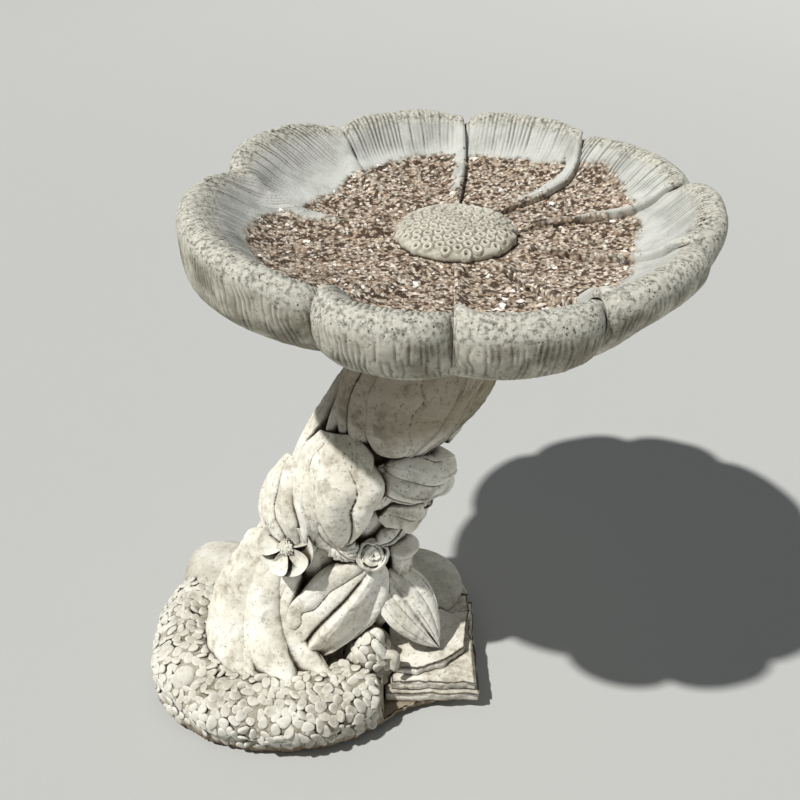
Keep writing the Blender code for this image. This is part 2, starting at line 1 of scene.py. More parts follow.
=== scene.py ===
"""A cast-stone bird bath: a nine-petalled flower bowl on a leaning, leaf-wrapped stem.

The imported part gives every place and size. The classes below carve the fine surface of
each piece, dress it in weathered stone, and hang it on the body that carries it.
"""

import itertools
import json
import logging
import math
from dataclasses import dataclass, field
from enum import Enum
from typing import Callable, Iterable, Sequence

import bpy
import bmesh
import numpy as np
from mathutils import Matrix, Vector
from mathutils.bvhtree import BVHTree


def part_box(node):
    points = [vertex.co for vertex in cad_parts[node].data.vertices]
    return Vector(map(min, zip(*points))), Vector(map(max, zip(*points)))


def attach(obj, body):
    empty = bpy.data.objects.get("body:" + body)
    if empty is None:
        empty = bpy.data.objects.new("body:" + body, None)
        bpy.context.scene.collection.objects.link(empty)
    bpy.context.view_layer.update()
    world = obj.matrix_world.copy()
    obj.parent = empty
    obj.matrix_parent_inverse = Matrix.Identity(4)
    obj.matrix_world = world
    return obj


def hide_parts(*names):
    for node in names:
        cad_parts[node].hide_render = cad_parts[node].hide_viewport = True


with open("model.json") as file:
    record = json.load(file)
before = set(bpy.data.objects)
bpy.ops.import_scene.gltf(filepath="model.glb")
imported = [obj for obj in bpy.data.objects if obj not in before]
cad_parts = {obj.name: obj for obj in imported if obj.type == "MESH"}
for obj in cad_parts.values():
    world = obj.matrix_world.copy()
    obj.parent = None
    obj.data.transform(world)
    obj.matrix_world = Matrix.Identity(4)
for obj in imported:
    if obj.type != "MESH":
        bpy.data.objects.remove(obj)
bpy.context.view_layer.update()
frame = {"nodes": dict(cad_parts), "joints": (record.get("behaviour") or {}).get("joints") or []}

LOG = logging.getLogger("bird_bath")
TURN = 2 * math.pi
Grid = np.ndarray
Random = np.random.Generator
Piece = bpy.types.Object
Material = bpy.types.Material


class Body(Enum):
    """The bodies that a piece can ride on."""

    PEDESTAL = "pedestal"
    PIN = "pin"
    BOWL = "bowl"


# Numbers and noise


def ramp(values: Grid, low: float, high: float) -> Grid:
    """Runs from 0 at low to 1 at high, easing in and out."""
    share = np.clip((values - low) / (high - low), 0, 1)
    return share * share * (3 - 2 * share)


def hump(values: Grid, centre: float, width: float) -> Grid:
    """A rounded bump of height 1 about a centre."""
    return np.exp(-(((values - centre) / width) ** 2))


def unit(vectors: Grid) -> Grid:
    """The vectors at length 1."""
    return vectors / np.maximum(np.linalg.norm(vectors, axis=-1, keepdims=True), 1e-12)


def all_round(count: int) -> Grid:
    """Evenly spaced angles all round, in radians."""
    return np.linspace(0, TURN, count, endpoint=False)


def blur(values: Grid, passes: int, axis: int, ring: bool = False) -> Grid:
    """Averages each value with its neighbours along one axis.

    Args:
        values: the numbers or points to even out.
        passes: how many times to average.
        axis: the axis to average along.
        ring: whether the last value is the first one's neighbour.

    Returns:
        The evened values, with the two ends held in place unless they form a ring.
    """
    for _ in range(passes):
        before = np.roll(values, 1, axis)
        after = np.roll(values, -1, axis)
        evened = 0.25 * before + 0.5 * values + 0.25 * after
        if not ring:
            ends = [slice(None)] * values.ndim
            for end in (0, -1):
                ends[axis] = end
                evened[tuple(ends)] = values[tuple(ends)]
        values = evened
    return values


def curve_through(points: Sequence[Sequence[float]], count: int, passes: int = 6) -> Grid:
    """A smooth line of evenly spaced points along given ones.

    Args:
        points: the hand-set points.
        count: how many points to return.
        passes: how strongly the corners are rounded.

    Returns:
        points: the given points.
    """
    given = np.array([tuple(p) for p in points], float)
    fine = max(count, 8 * len(given))
    for steps in (fine, count):
        run = np.concatenate([[0], np.cumsum(np.linalg.norm(np.diff(given, axis=0), axis=1))])
        at = np.linspace(0, run[-1], steps)
        given = np.stack([np.interp(at, run, given[:, i]) for i in range(given.shape[1])], 1)
        if steps == fine:
            given = blur(given, passes * 4, 0)
    return given


class Noise:
    """Repeatable smooth noise in space, from a seed."""

    SIZE = 4096
    PRIMES = (73856093, 19349663, 83492791)

    def __init__(self, seed: int) -> None:
        """Draws the table of values once."""
        self.table = np.random.default_rng(seed).random(self.SIZE)

    def lattice(self, cells: Grid, turn: int = 0) -> Grid:
        """A value from 0 to 1 for each whole-numbered cell."""
        mixed = sum(cells[..., i] * prime for i, prime in enumerate(self.PRIMES)) + turn * 977
        return self.table[mixed & (self.SIZE - 1)]

    def value(self, points: Grid) -> Grid:
        """Smooth noise from -1 to 1, one cell to a unit."""
        base = np.floor(points).astype(np.int64)
        part = points - base
        part = part * part * (3 - 2 * part)
        total = np.zeros(points.shape[:-1])
        for corner in itertools.product((0, 1), repeat=3):
            weight = np.prod(np.where(np.array(corner) == 1, part, 1 - part), axis=-1)
            total += weight * self.lattice(base + np.array(corner))
        return total * 2 - 1

    def layered(self, points: Grid, size: float, octaves: int = 3, gain: float = 0.5) -> Grid:
        """Noise with finer noise on top.

        Args:
            points: places in metres.
            size: the width of the largest lump, in metres.
            octaves: how many layers.
            gain: how strong each layer is beside the one above it.

        Returns:
            A value for each place, about -1 to 1.
        """
        total = np.zeros(points.shape[:-1])
        for layer in range(octaves):
            total += gain**layer * self.value(points * (2**layer / size) + 7.3 * layer)
        return total / sum(gain**layer for layer in range(octaves))

    def rough(self, points: Grid, *layers: tuple[float, float, int]) -> Grid:
        """Several noises summed, each from its depth and lump size in metres and its octaves."""
        return sum(depth * self.layered(points, size, octaves) for depth, size, octaves in layers)

    def cells(self, points: Grid, size: float) -> tuple[Grid, Grid, Grid]:
        """Irregular cells, as in packed grains.

        Args:
            points: places in metres.
            size: the usual width of a grain, in metres.

        Returns:
            Distance to the nearest grain's centre and to the next one's, in grain widths,
            and a random value from 0 to 1 for the nearest grain.
        """
        scaled = points / size
        base = np.floor(scaled).astype(np.int64)
        nearest = np.full(points.shape[:-1], 9.0)
        second = nearest.copy()
        name = np.zeros(points.shape[:-1])
        for step in itertools.product((-1, 0, 1), repeat=3):
            cell = base + np.array(step)
            middle = cell + np.stack([self.lattice(cell, turn) for turn in (1, 2, 3)], -1)
            far = np.linalg.norm(scaled - middle, axis=-1)
            closer = far < nearest
            second = np.where(closer, nearest, np.minimum(second, far))
            name = np.where(closer, self.lattice(cell, 4), name)
            nearest = np.where(closer, far, nearest)
        return nearest, second, name


# Meshes


@dataclass
class Shell:
    """A grid of points, rows by columns, that becomes a mesh.

    Its masks are numbers from 0 to 1 for each point, which the finishes read by name.
    """

    points: Grid
    ring: bool = False
    masks: dict[str, Grid] = field(default_factory=dict)

    def normals(self) -> Grid:
        """The outward direction at each point: rows run outward and columns to their left."""
        if self.ring:
            across = np.roll(self.points, -1, 1) - np.roll(self.points, 1, 1)
        else:
            across = np.gradient(self.points, axis=1)
        along = np.gradient(self.points, axis=0)
        return unit(np.cross(along, across))

    def push(self, heights: Grid) -> "Shell":
        """Moves each point out along its normal."""
        self.points = self.points + self.normals() * heights[..., None]
        return self

    def quads(self) -> Grid:
        """The faces between neighbouring rows and columns."""
        rows, columns = self.points.shape[:2]
        index = np.arange(rows * columns).reshape(rows, columns)
        if self.ring:
            index = np.concatenate([index, index[:, :1]], axis=1)
        corners = (index[:-1, :-1], index[1:, :-1], index[1:, 1:], index[:-1, 1:])
        return np.stack(corners, -1).reshape(-1, 4)

    def caps(self, start: bool, end: bool) -> list[tuple[int, ...]]:
        """Faces that close the first and the last row of a ring."""
        rows, columns = self.points.shape[:2]
        first = tuple(range(columns))
        last = tuple(range(rows * columns - 1, (rows - 1) * columns - 1, -1))
        return [first] * start + [last] * end


def make_piece(
    name: str, shells: Iterable[Shell], close: tuple[bool, bool] = (False, False)
) -> Piece:
    """Turns shells into one object.

    Args:
        name: the piece's name.
        shells: the grids that make it up.
        close: whether the first and the last row of each ring get a face.

    Returns:
        The new object, smooth-shaded, with the shells' masks as attributes.
    """
    points: list[Grid] = []
    faces: list[Sequence[int]] = []
    masks: dict[str, list[Grid]] = {}
    count = 0
    shells = list(shells)
    for shell in shells:
        faces += (shell.quads() + count).tolist()
        faces += [tuple(i + count for i in face) for face in shell.caps(*close)]
        points.append(shell.points.reshape(-1, 3))
        for key, mask in shell.masks.items():
            whole = np.broadcast_to(mask, shell.points.shape[:2])
            masks.setdefault(key, []).append(whole.ravel())
        count += len(points[-1])
    mesh = bpy.data.meshes.new(name)
    mesh.from_pydata(np.concatenate(points), [], faces)
    for key, parts in masks.items():
        attribute = mesh.attributes.new(key, "FLOAT", "POINT")
        attribute.data.foreach_set("value", np.concatenate(parts).astype(np.float32))
    mesh.shade_smooth()
    obj = bpy.data.objects.new(name, mesh)
    bpy.context.scene.collection.objects.link(obj)
    return obj


def weld(obj: Piece, distance: float = 0.00002) -> Piece:
    """Joins points that lie together, drops faces that this empties, and faces it outward."""
    work = bmesh.new()
    work.from_mesh(obj.data)
    bmesh.ops.remove_doubles(work, verts=work.verts, dist=distance)
    bmesh.ops.dissolve_degenerate(work, edges=work.edges, dist=distance / 4)
    bmesh.ops.recalc_face_normals(work, faces=work.faces)
    work.to_mesh(obj.data)
    work.free()
    obj.data.shade_smooth()
    return obj


def fill_holes(obj: Piece) -> Piece:
    """Closes every open edge loop."""
    work = bmesh.new()
    work.from_mesh(obj.data)
    bmesh.ops.holes_fill(work, edges=[e for e in work.edges if e.is_boundary], sides=0)
    bmesh.ops.recalc_face_normals(work, faces=work.faces)
    work.to_mesh(obj.data)
    work.free()
    obj.data.shade_smooth()
    return obj


# Finishes

Colour = tuple[float, float, float]


def tint(red: int, green: int, blue: int) -> Colour:
    """A colour from screen values, 0 to 255, as the shader's linear numbers."""
    linear = []
    for value in (red / 255, green / 255, blue / 255):
        low = value <= 0.04045
        linear.append(value / 12.92 if low else ((value + 0.055) / 1.055) ** 2.4)
    return (linear[0], linear[1], linear[2])


class Wire:
    """One socket of a material, which takes part in sums."""

    def __init__(self, book: "Book", socket: bpy.types.NodeSocket) -> None:
        """Keeps the socket and the book that it belongs to."""
        self.book = book
        self.socket = socket

    def sum(self, operation: str, *values: "Wire | float") -> "Wire":
        """A Math node on these values."""
        return self.book.node("ShaderNodeMath", {"operation": operation}, dict(enumerate(values)))

    def __add__(self, other: "Wire | float") -> "Wire":
        """Addition."""
        return self.sum("ADD", self, other)

    def __radd__(self, other: float) -> "Wire":
        """Addition to a number."""
        return self.sum("ADD", other, self)

    def __sub__(self, other: "Wire | float") -> "Wire":
        """Subtraction."""
        return self.sum("SUBTRACT", self, other)

    def __rsub__(self, other: float) -> "Wire":
        """Subtraction from a number."""
        return self.sum("SUBTRACT", other, self)

    def __mul__(self, other: "Wire | float") -> "Wire":
        """Multiplication."""
        return self.sum("MULTIPLY", self, other)

    def __rmul__(self, other: float) -> "Wire":
        """Multiplication of a number."""
        return self.sum("MULTIPLY", other, self)

    def over(self, low: float, high: float) -> "Wire":
        """Eases from 0 at low to 1 at high; low may be the larger one."""
        values = {"Value": self, "From Min": low, "From Max": high}
        return self.book.node("ShaderNodeMapRange", {"interpolation_type": "SMOOTHSTEP"}, values)


class Book:
    """A material's nodes."""

    DULL = 0.25

    def __init__(self, name: str) -> None:
        """Starts a material with its shader and the place of each point."""
        self.material = bpy.data.materials.new(name)
        self.material.use_nodes = True
        self.tree = self.material.node_tree
        self.shader = self.tree.nodes["Principled BSDF"]
        self.place = self.node("ShaderNodeTexCoord", {}, {}, "Object")

    def node(self, kind: str, settings: dict, values: dict, output: int | str = 0) -> Wire:
        """Adds a node.

        Args:
            kind: the node's type.
            settings: its properties, set before its sockets.
            values: what goes into its sockets, by name or place: a wire, number or colour.
            output: which of its outputs to return.

        Returns:
            That output.
        """
        made = self.tree.nodes.new(kind)
        for key, value in settings.items():
            setattr(made, key, value)
        for key, value in values.items():
            if isinstance(value, Wire):
                self.tree.links.new(value.socket, made.inputs[key])
            elif value is not None:
                made.inputs[key].default_value = value
        return Wire(self, made.outputs[output])

    def mask(self, name: str) -> Wire:
        """A mask that the piece's mesh carries."""
        return self.node("ShaderNodeAttribute", {"attribute_name": name}, {}, "Fac")

    def noise(self, size: float, detail: float = 4) -> Wire:
        """Noise from 0 to 1 with lumps of about this size in metres."""
        values = {"Vector": self.place, "Scale": 1 / size, "Detail": detail, "Roughness": 0.6}
        return self.node("ShaderNodeTexNoise", {}, values)

    def grains(self, size: float, output: str = "Distance") -> Wire:
        """Cells of about this size in metres: the distance to each centre, or its colour."""
        values = {"Vector": self.place, "Scale": 1 / size}
        return self.node("ShaderNodeTexVoronoi", {}, values, output)

    def mix(
        self, factor: Wire | float, one: Wire | Colour, two: Wire | Colour, how: str = "MIX"
    ) -> Wire:
        """Mixes two colours.

        Args:
            factor: how much of the second, held between 0 and 1.
            one: the first colour.
            two: the second colour.
            how: the way they blend.

        Returns:
            The mixed colour.
        """
        settings = {"data_type": "RGBA", "blend_type": how, "clamp_factor": True}
        pair = [(*c, 1) if isinstance(c, tuple) else c for c in (one, two)]
        return self.node("ShaderNodeMix", settings, {0: factor, 6: pair[0], 7: pair[1]}, 2)

    def height(self) -> Wire:
        """How high each point stands, in metres."""
        return self.node("ShaderNodeSeparateXYZ", {}, {0: self.place}, "Z")

    def crevice(self, reach: float) -> Wire:
        """0 in the open and 1 deep in a crevice narrower than reach."""
        settings = {"samples": 8}
        return 1 - self.node("ShaderNodeAmbientOcclusion", settings, {"Distance": reach}, "AO")

    def edges(self) -> Wire:
        """0 in hollows, 0.5 on the flat and 1 on sharp edges."""
        return self.node("ShaderNodeNewGeometry", {}, {}, "Pointiness")

    def finish(
        self, colour: Wire, roughness: Wire | float, height: Wire, depth: float
    ) -> Material:
        """Feeds the shader.

        Args:
            colour: the base colour.
            roughness: the roughness.
            height: relief from 0 to 1, for the bump.
            depth: how deep that relief is, in metres.

        Returns:
            The finished material.
        """
        values = {"Strength": 1.0, "Distance": depth, "Height": height}
        bump = self.node("ShaderNodeBump", {}, values, "Normal")
        for key, value in (("Base Color", colour), ("Roughness", roughness), ("Normal", bump)):
            if isinstance(value, Wire):
                self.tree.links.new(value.socket, self.shader.inputs[key])
            else:
                self.shader.inputs[key].default_value = value
        self.shader.inputs["Specular IOR Level"].default_value = self.DULL
        return self.material


@dataclass(frozen=True)
class CastStone:
    """Weathered cast stone: bleached edges, and painted shade with dirt in its crevices."""

    name: str
    light: Colour
    mid: Colour
    dark: Colour
    crevice: Colour
    speckle: float = 0.5
    crevice_shade_and_dirt: float = 1.0
    reach: float = 0.012
    soil: float = 0.0
    soil_top: float = 0.03
    relief: float = 0.0005
    # Painted shade: how much darker the stem is from about 0.25 m up, under the bowl
    painted_neck_shade: float = 0.0

    # Tone multiplied in as painted shade on the upper stem
    NECK_SHADE_TONE = tint(150, 138, 116)
    SOIL = tint(112, 92, 70)
    PALE = tint(246, 244, 234)
    PIT = tint(66, 62, 54)

    def build(self) -> Material:
        """Blotches, grains, pits, painted shade and dirt in crevices, and soil at its foot."""
        book = Book(self.name)
        blotch = book.noise(0.045, 5)
        fine = book.noise(0.005, 6)
        grain = book.grains(0.0014, "Color")
        pits = book.grains(0.0032)
        some = book.noise(0.012, 2)
        hollow = book.crevice(self.reach)
        colour = book.mix(blotch.over(0.38, 0.62), self.light, self.mid)
        stain = book.noise(0.09, 6).over(0.52, 0.70) * fine.over(0.30, 0.62)
        colour = book.mix(stain * 0.6, colour, self.dark)
        mottle = book.noise(0.016, 6).over(0.50, 0.66) * book.noise(0.05, 2).over(0.40, 0.60)
        colour = book.mix(mottle * (0.7 * self.speckle), colour, self.dark)
        dots = book.grains(0.0045).over(0.20, 0.10) * book.noise(0.02, 2).over(0.54, 0.62)
        colour = book.mix(dots * 0.7, colour, self.crevice)
        dusting = fine.over(0.52, 0.74) * (0.35 + 0.4 * self.speckle)
        colour = book.mix(dusting, colour, self.dark)
        colour = book.mix(grain.over(0.80, 0.95) * (0.6 * self.speckle), colour, self.PALE)
        pit = pits.over(0.26, 0.10) * some.over(0.50, 0.62)
        colour = book.mix(pit * (0.85 * self.speckle), colour, self.PIT)
        colour = book.mix(book.edges().over(0.505, 0.56) * 0.45, colour, self.PALE)
        # Painted shade with dirt: darker deep in crevices (occlusion) and in hollows of the surface
        deep = hollow.over(0.16, 0.72) * (0.9 * self.crevice_shade_and_dirt)
        bent = book.edges().over(0.492, 0.44) * (0.6 * self.crevice_shade_and_dirt)
        colour = book.mix(deep + bent, colour, self.crevice)
        # Painted shade: the upper stem, under the bowl, darker from about 0.25 m up
        if self.painted_neck_shade:
            high = (book.height() + (blotch - 0.5) * 0.04).over(0.250, 0.305)
            colour = book.mix(high * self.painted_neck_shade, colour, self.NECK_SHADE_TONE, "MULTIPLY")
        if self.soil:
            low = (book.height() + (blotch - 0.5) * 0.03).over(self.soil_top, 0.0)
            colour = book.mix(low * self.soil, colour, self.SOIL)
        relief = fine * 0.5 + grain * 0.15 + (1 - pit) * 0.35
        return book.finish(colour, 0.88 + 0.08 * fine, relief, self.relief)


@dataclass(frozen=True)
class PetalStone:
    """The bowl's stone: a pitted lip, chiselled outer faces, smooth walls and a worn floor."""

    name: str = "bowl_stone"
    lip: Colour = tint(206, 204, 192)
    lip_dark: Colour = tint(92, 90, 80)
    outer: Colour = tint(208, 205, 190)
    outer_dark: Colour = tint(146, 141, 125)
    wall: Colour = tint(208, 209, 204)
    wall_dark: Colour = tint(158, 160, 153)
    rust: Colour = tint(170, 144, 121)
    clay: Colour = tint(206, 190, 172)
    earth: Colour = tint(62, 48, 36)
    chalk: Colour = tint(236, 226, 212)
    black: Colour = tint(40, 38, 34)

    def build(self) -> Material:
        """The material, which reads the masks worn, wall, outer, groove and lichen."""
        book = Book(self.name)
        worn, wall, outer = book.mask("worn"), book.mask("wall"), book.mask("outer")
        groove, lichen = book.mask("groove"), book.mask("lichen")
        blotch = book.noise(0.030, 5)
        fine = book.noise(0.0035, 6)
        grain = book.grains(0.0013, "Color")
        gravel = book.grains(0.0030, "Color")
        pits = book.grains(0.0028)
        some = book.noise(0.010, 3)
        pit = pits.over(0.34, 0.14) * some.over(0.44, 0.60)
        colour = book.mix(fine.over(0.44, 0.66) * 0.75, self.lip, self.lip_dark)
        colour = book.mix(grain.over(0.78, 0.95) * 0.6, colour, CastStone.PALE)
        colour = book.mix(pit * 0.9, colour, CastStone.PIT)
        side = book.mix(blotch.over(0.40, 0.64), self.outer, self.outer_dark)
        side = book.mix(fine.over(0.55, 0.75) * 0.4, side, self.outer_dark)
        side = book.mix(pit * 0.4, side, CastStone.PIT)
        colour = book.mix(outer, colour, side)
        inner = book.mix(blotch.over(0.42, 0.66) * 0.6, self.wall, self.wall_dark)
        inner = book.mix(fine.over(0.56, 0.8) * 0.3, inner, self.wall_dark)
        colour = book.mix(wall, colour, inner)
        floor = book.mix(some.over(0.36, 0.66), self.rust, self.clay)
        floor = book.mix(gravel.over(0.52, 0.62), floor, self.clay)
        floor = book.mix(gravel.over(0.72, 0.80), floor, self.chalk)
        floor = book.mix(gravel.over(0.42, 0.30) * 0.9, floor, self.earth)
        floor = book.mix(fine.over(0.50, 0.68) * 0.6, floor, self.earth)
        floor = book.mix(book.grains(0.0030).over(0.45, 0.62) * 0.55, floor, self.earth)
        colour = book.mix(worn, colour, floor)
        colour = book.mix(groove * 0.9, colour, tint(72, 71, 64))
        colour = book.mix(book.edges().over(0.505, 0.56) * 0.2, colour, CastStone.PALE)
        # Painted shade with dirt: darker in crevices (occlusion) and in hollows
        crevice_shade_and_dirt = book.crevice(0.010).over(0.30, 0.95) * 0.6 + book.edges().over(0.485, 0.43) * 0.4
        colour = book.mix(crevice_shade_and_dirt, colour, tint(80, 72, 60))
        black = lichen * book.noise(0.004, 3).over(0.50, 0.60)
        colour = book.mix(black, colour, self.black)
        relief = fine * 0.4 + grain * 0.15 + (1 - pit) * 0.45
        relief = relief + worn * gravel * 0.8
        return book.finish(colour, 0.86 + 0.08 * fine, relief, 0.0007)


@dataclass(frozen=True)
class ChipStone:
    """The loose-looking grains that stand out of the worn floor, each its own shade."""

    name: str = "aggregate"
    shades: tuple[Colour, ...] = (
        tint(78, 62, 50),
        tint(158, 133, 112),
        tint(200, 179, 159),
        tint(230, 218, 204),
        tint(252, 248, 241),
    )

    def build(self) -> Material:
        """A tone for each grain from its mask, and painted shade with dirt at the floor."""
        book = Book(self.name)
        shade = book.mask("shade")
        fine = book.noise(0.0016, 4)
        colour: Wire | Colour = self.shades[0]
        for step, tone in enumerate(self.shades[1:]):
            start = (step + 0.7) / len(self.shades)
            colour = book.mix(shade.over(start, start + 0.12), colour, tone)
        colour = book.mix(fine.over(0.5, 0.75) * 0.35, colour, self.shades[0])
        # Painted shade with dirt, where each grain meets the floor and its neighbours
        colour = book.mix(book.crevice(0.003).over(0.3, 0.9) * 0.8, colour, tint(92, 72, 56))
        return book.finish(colour, 0.8 + 0.1 * fine, fine, 0.0002)


@dataclass(frozen=True)
class DullSteel:
    """Plain steel bar, dulled and rusting in spots."""

    name: str
    bare: Colour = tint(132, 126, 120)
    rust: Colour = tint(120, 72, 42)
    rusted: float = 0.5

    def build(self) -> Material:
        """The material: drawn lines along the bar, and rust in patches."""
        book = Book(self.name)
        patch = book.noise(0.009, 6).over(0.62 - 0.25 * self.rusted, 0.72)
        fine = book.noise(0.0012, 4)
        colour = book.mix(patch, book.mix(fine * 0.5, self.bare, tint(92, 88, 84)), self.rust)
        book.tree.links.new((1 - patch * 0.9).socket, book.shader.inputs["Metallic"])
        return book.finish(colour, 0.42 + 0.4 * patch, fine * 0.4 + patch * 0.6, 0.0002)


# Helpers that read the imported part


class Castable:
    """The joined surface of some meshes, for finding where a line meets it."""

    def __init__(self, objects: Iterable[Piece]) -> None:
        """Gathers the meshes where they stand in the frame."""
        points: list[Vector] = []
        faces: list[list[int]] = []
        for obj in objects:
            start = len(points)
            points += [obj.matrix_world @ vertex.co for vertex in obj.data.vertices]
            faces += [[i + start for i in face.vertices] for face in obj.data.polygons]
        self.tree = BVHTree.FromPolygons(points, faces)

    def meet(
        self, start: Sequence[float], way: Sequence[float], reach: float = 2.0
    ) -> tuple[Vector, Vector] | None:
        """The first point that a line from start meets, and its normal, or None."""
        point, normal, _, _ = self.tree.ray_cast(Vector(start), Vector(way), reach)
        return None if point is None else (point, normal)

    def hit(self, start: Sequence[float], way: Sequence[float]) -> Vector | None:
        """The first point that a line from start meets, or None."""
        return self.tree.ray_cast(Vector(start), Vector(way), 1.0)[0]

    def below(self, x: float, y: float, top: float = 1.0) -> tuple[Vector, Vector] | None:
        """The highest point at x and y, and its normal, or None."""
        return self.meet((x, y, top), (0, 0, -1))


def install(obj: Piece, body: Body, slot: str, finish: Material, *nodes: str) -> Piece:
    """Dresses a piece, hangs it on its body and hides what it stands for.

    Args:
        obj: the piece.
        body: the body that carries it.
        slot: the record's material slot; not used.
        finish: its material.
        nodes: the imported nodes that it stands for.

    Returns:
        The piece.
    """
    obj.data.materials.clear()
    obj.data.materials.append(finish)
    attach(obj, body.value)
    if nodes:
        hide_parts(*nodes)
    LOG.info("%s: %d faces on %s", obj.name, len(obj.data.polygons), body.value)
    return obj


def carved(
    node: str, shells: Iterable[Shell], finish: Material, slot: str = "stem_stone",
    body: Body = Body.PEDESTAL, capped: bool = True, also: Sequence[str] = (),
) -> Piece:
    """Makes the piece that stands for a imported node, and installs it.

    Args:
        node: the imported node.
        shells: the grids that make the piece up.
        finish: its material.
        slot: the record's material slot.
        body: the body that carries it.
        capped: whether its ends get a face each; if not, every open edge is closed.
        also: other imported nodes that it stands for.

    Returns:
        The piece.
    """
    piece = weld(make_piece(node + "_carved", shells, (capped, capped)))
    return install(piece if capped else fill_holes(piece), body, slot, finish, node, *also)


# Bowl


@dataclass(frozen=True)
class Petal:
    """One petal of the bowl.

    Its first edge stands proud and laps over the petal clockwise of it. Angles are in
    degrees, the rest in metres.
    """

    name: str
    first: float
    span: float
    tip: float
    reach: float
    belly: float
    sway: float = 0.0
    curl: float = 0.0
    bare: float = 0.0


@dataclass
class PetalGrid:
    """Where each point of a petal lies before it is carved.

    Shares run round the petal and pass 0 and 1 beyond its edges; angles are in radians.
    Reach (from the axis), run (along the profile) and inner (1 inside the lip, 0 outside)
    have one value for each row.
    """

    index: int
    shares: Grid
    angle: Grid
    reach: Grid
    run: Grid
    crest: float
    inner: Grid
    points: Grid

    @property
    def degrees(self) -> Grid:
        """Each point's angle in degrees, -180 to 180."""
        return (np.degrees(self.angle) + 180) % 360 - 180

    @property
    def column(self) -> Grid:
        """Each point's column number."""
        return np.broadcast_to(np.arange(self.shares.shape[1])[None], self.shares.shape)


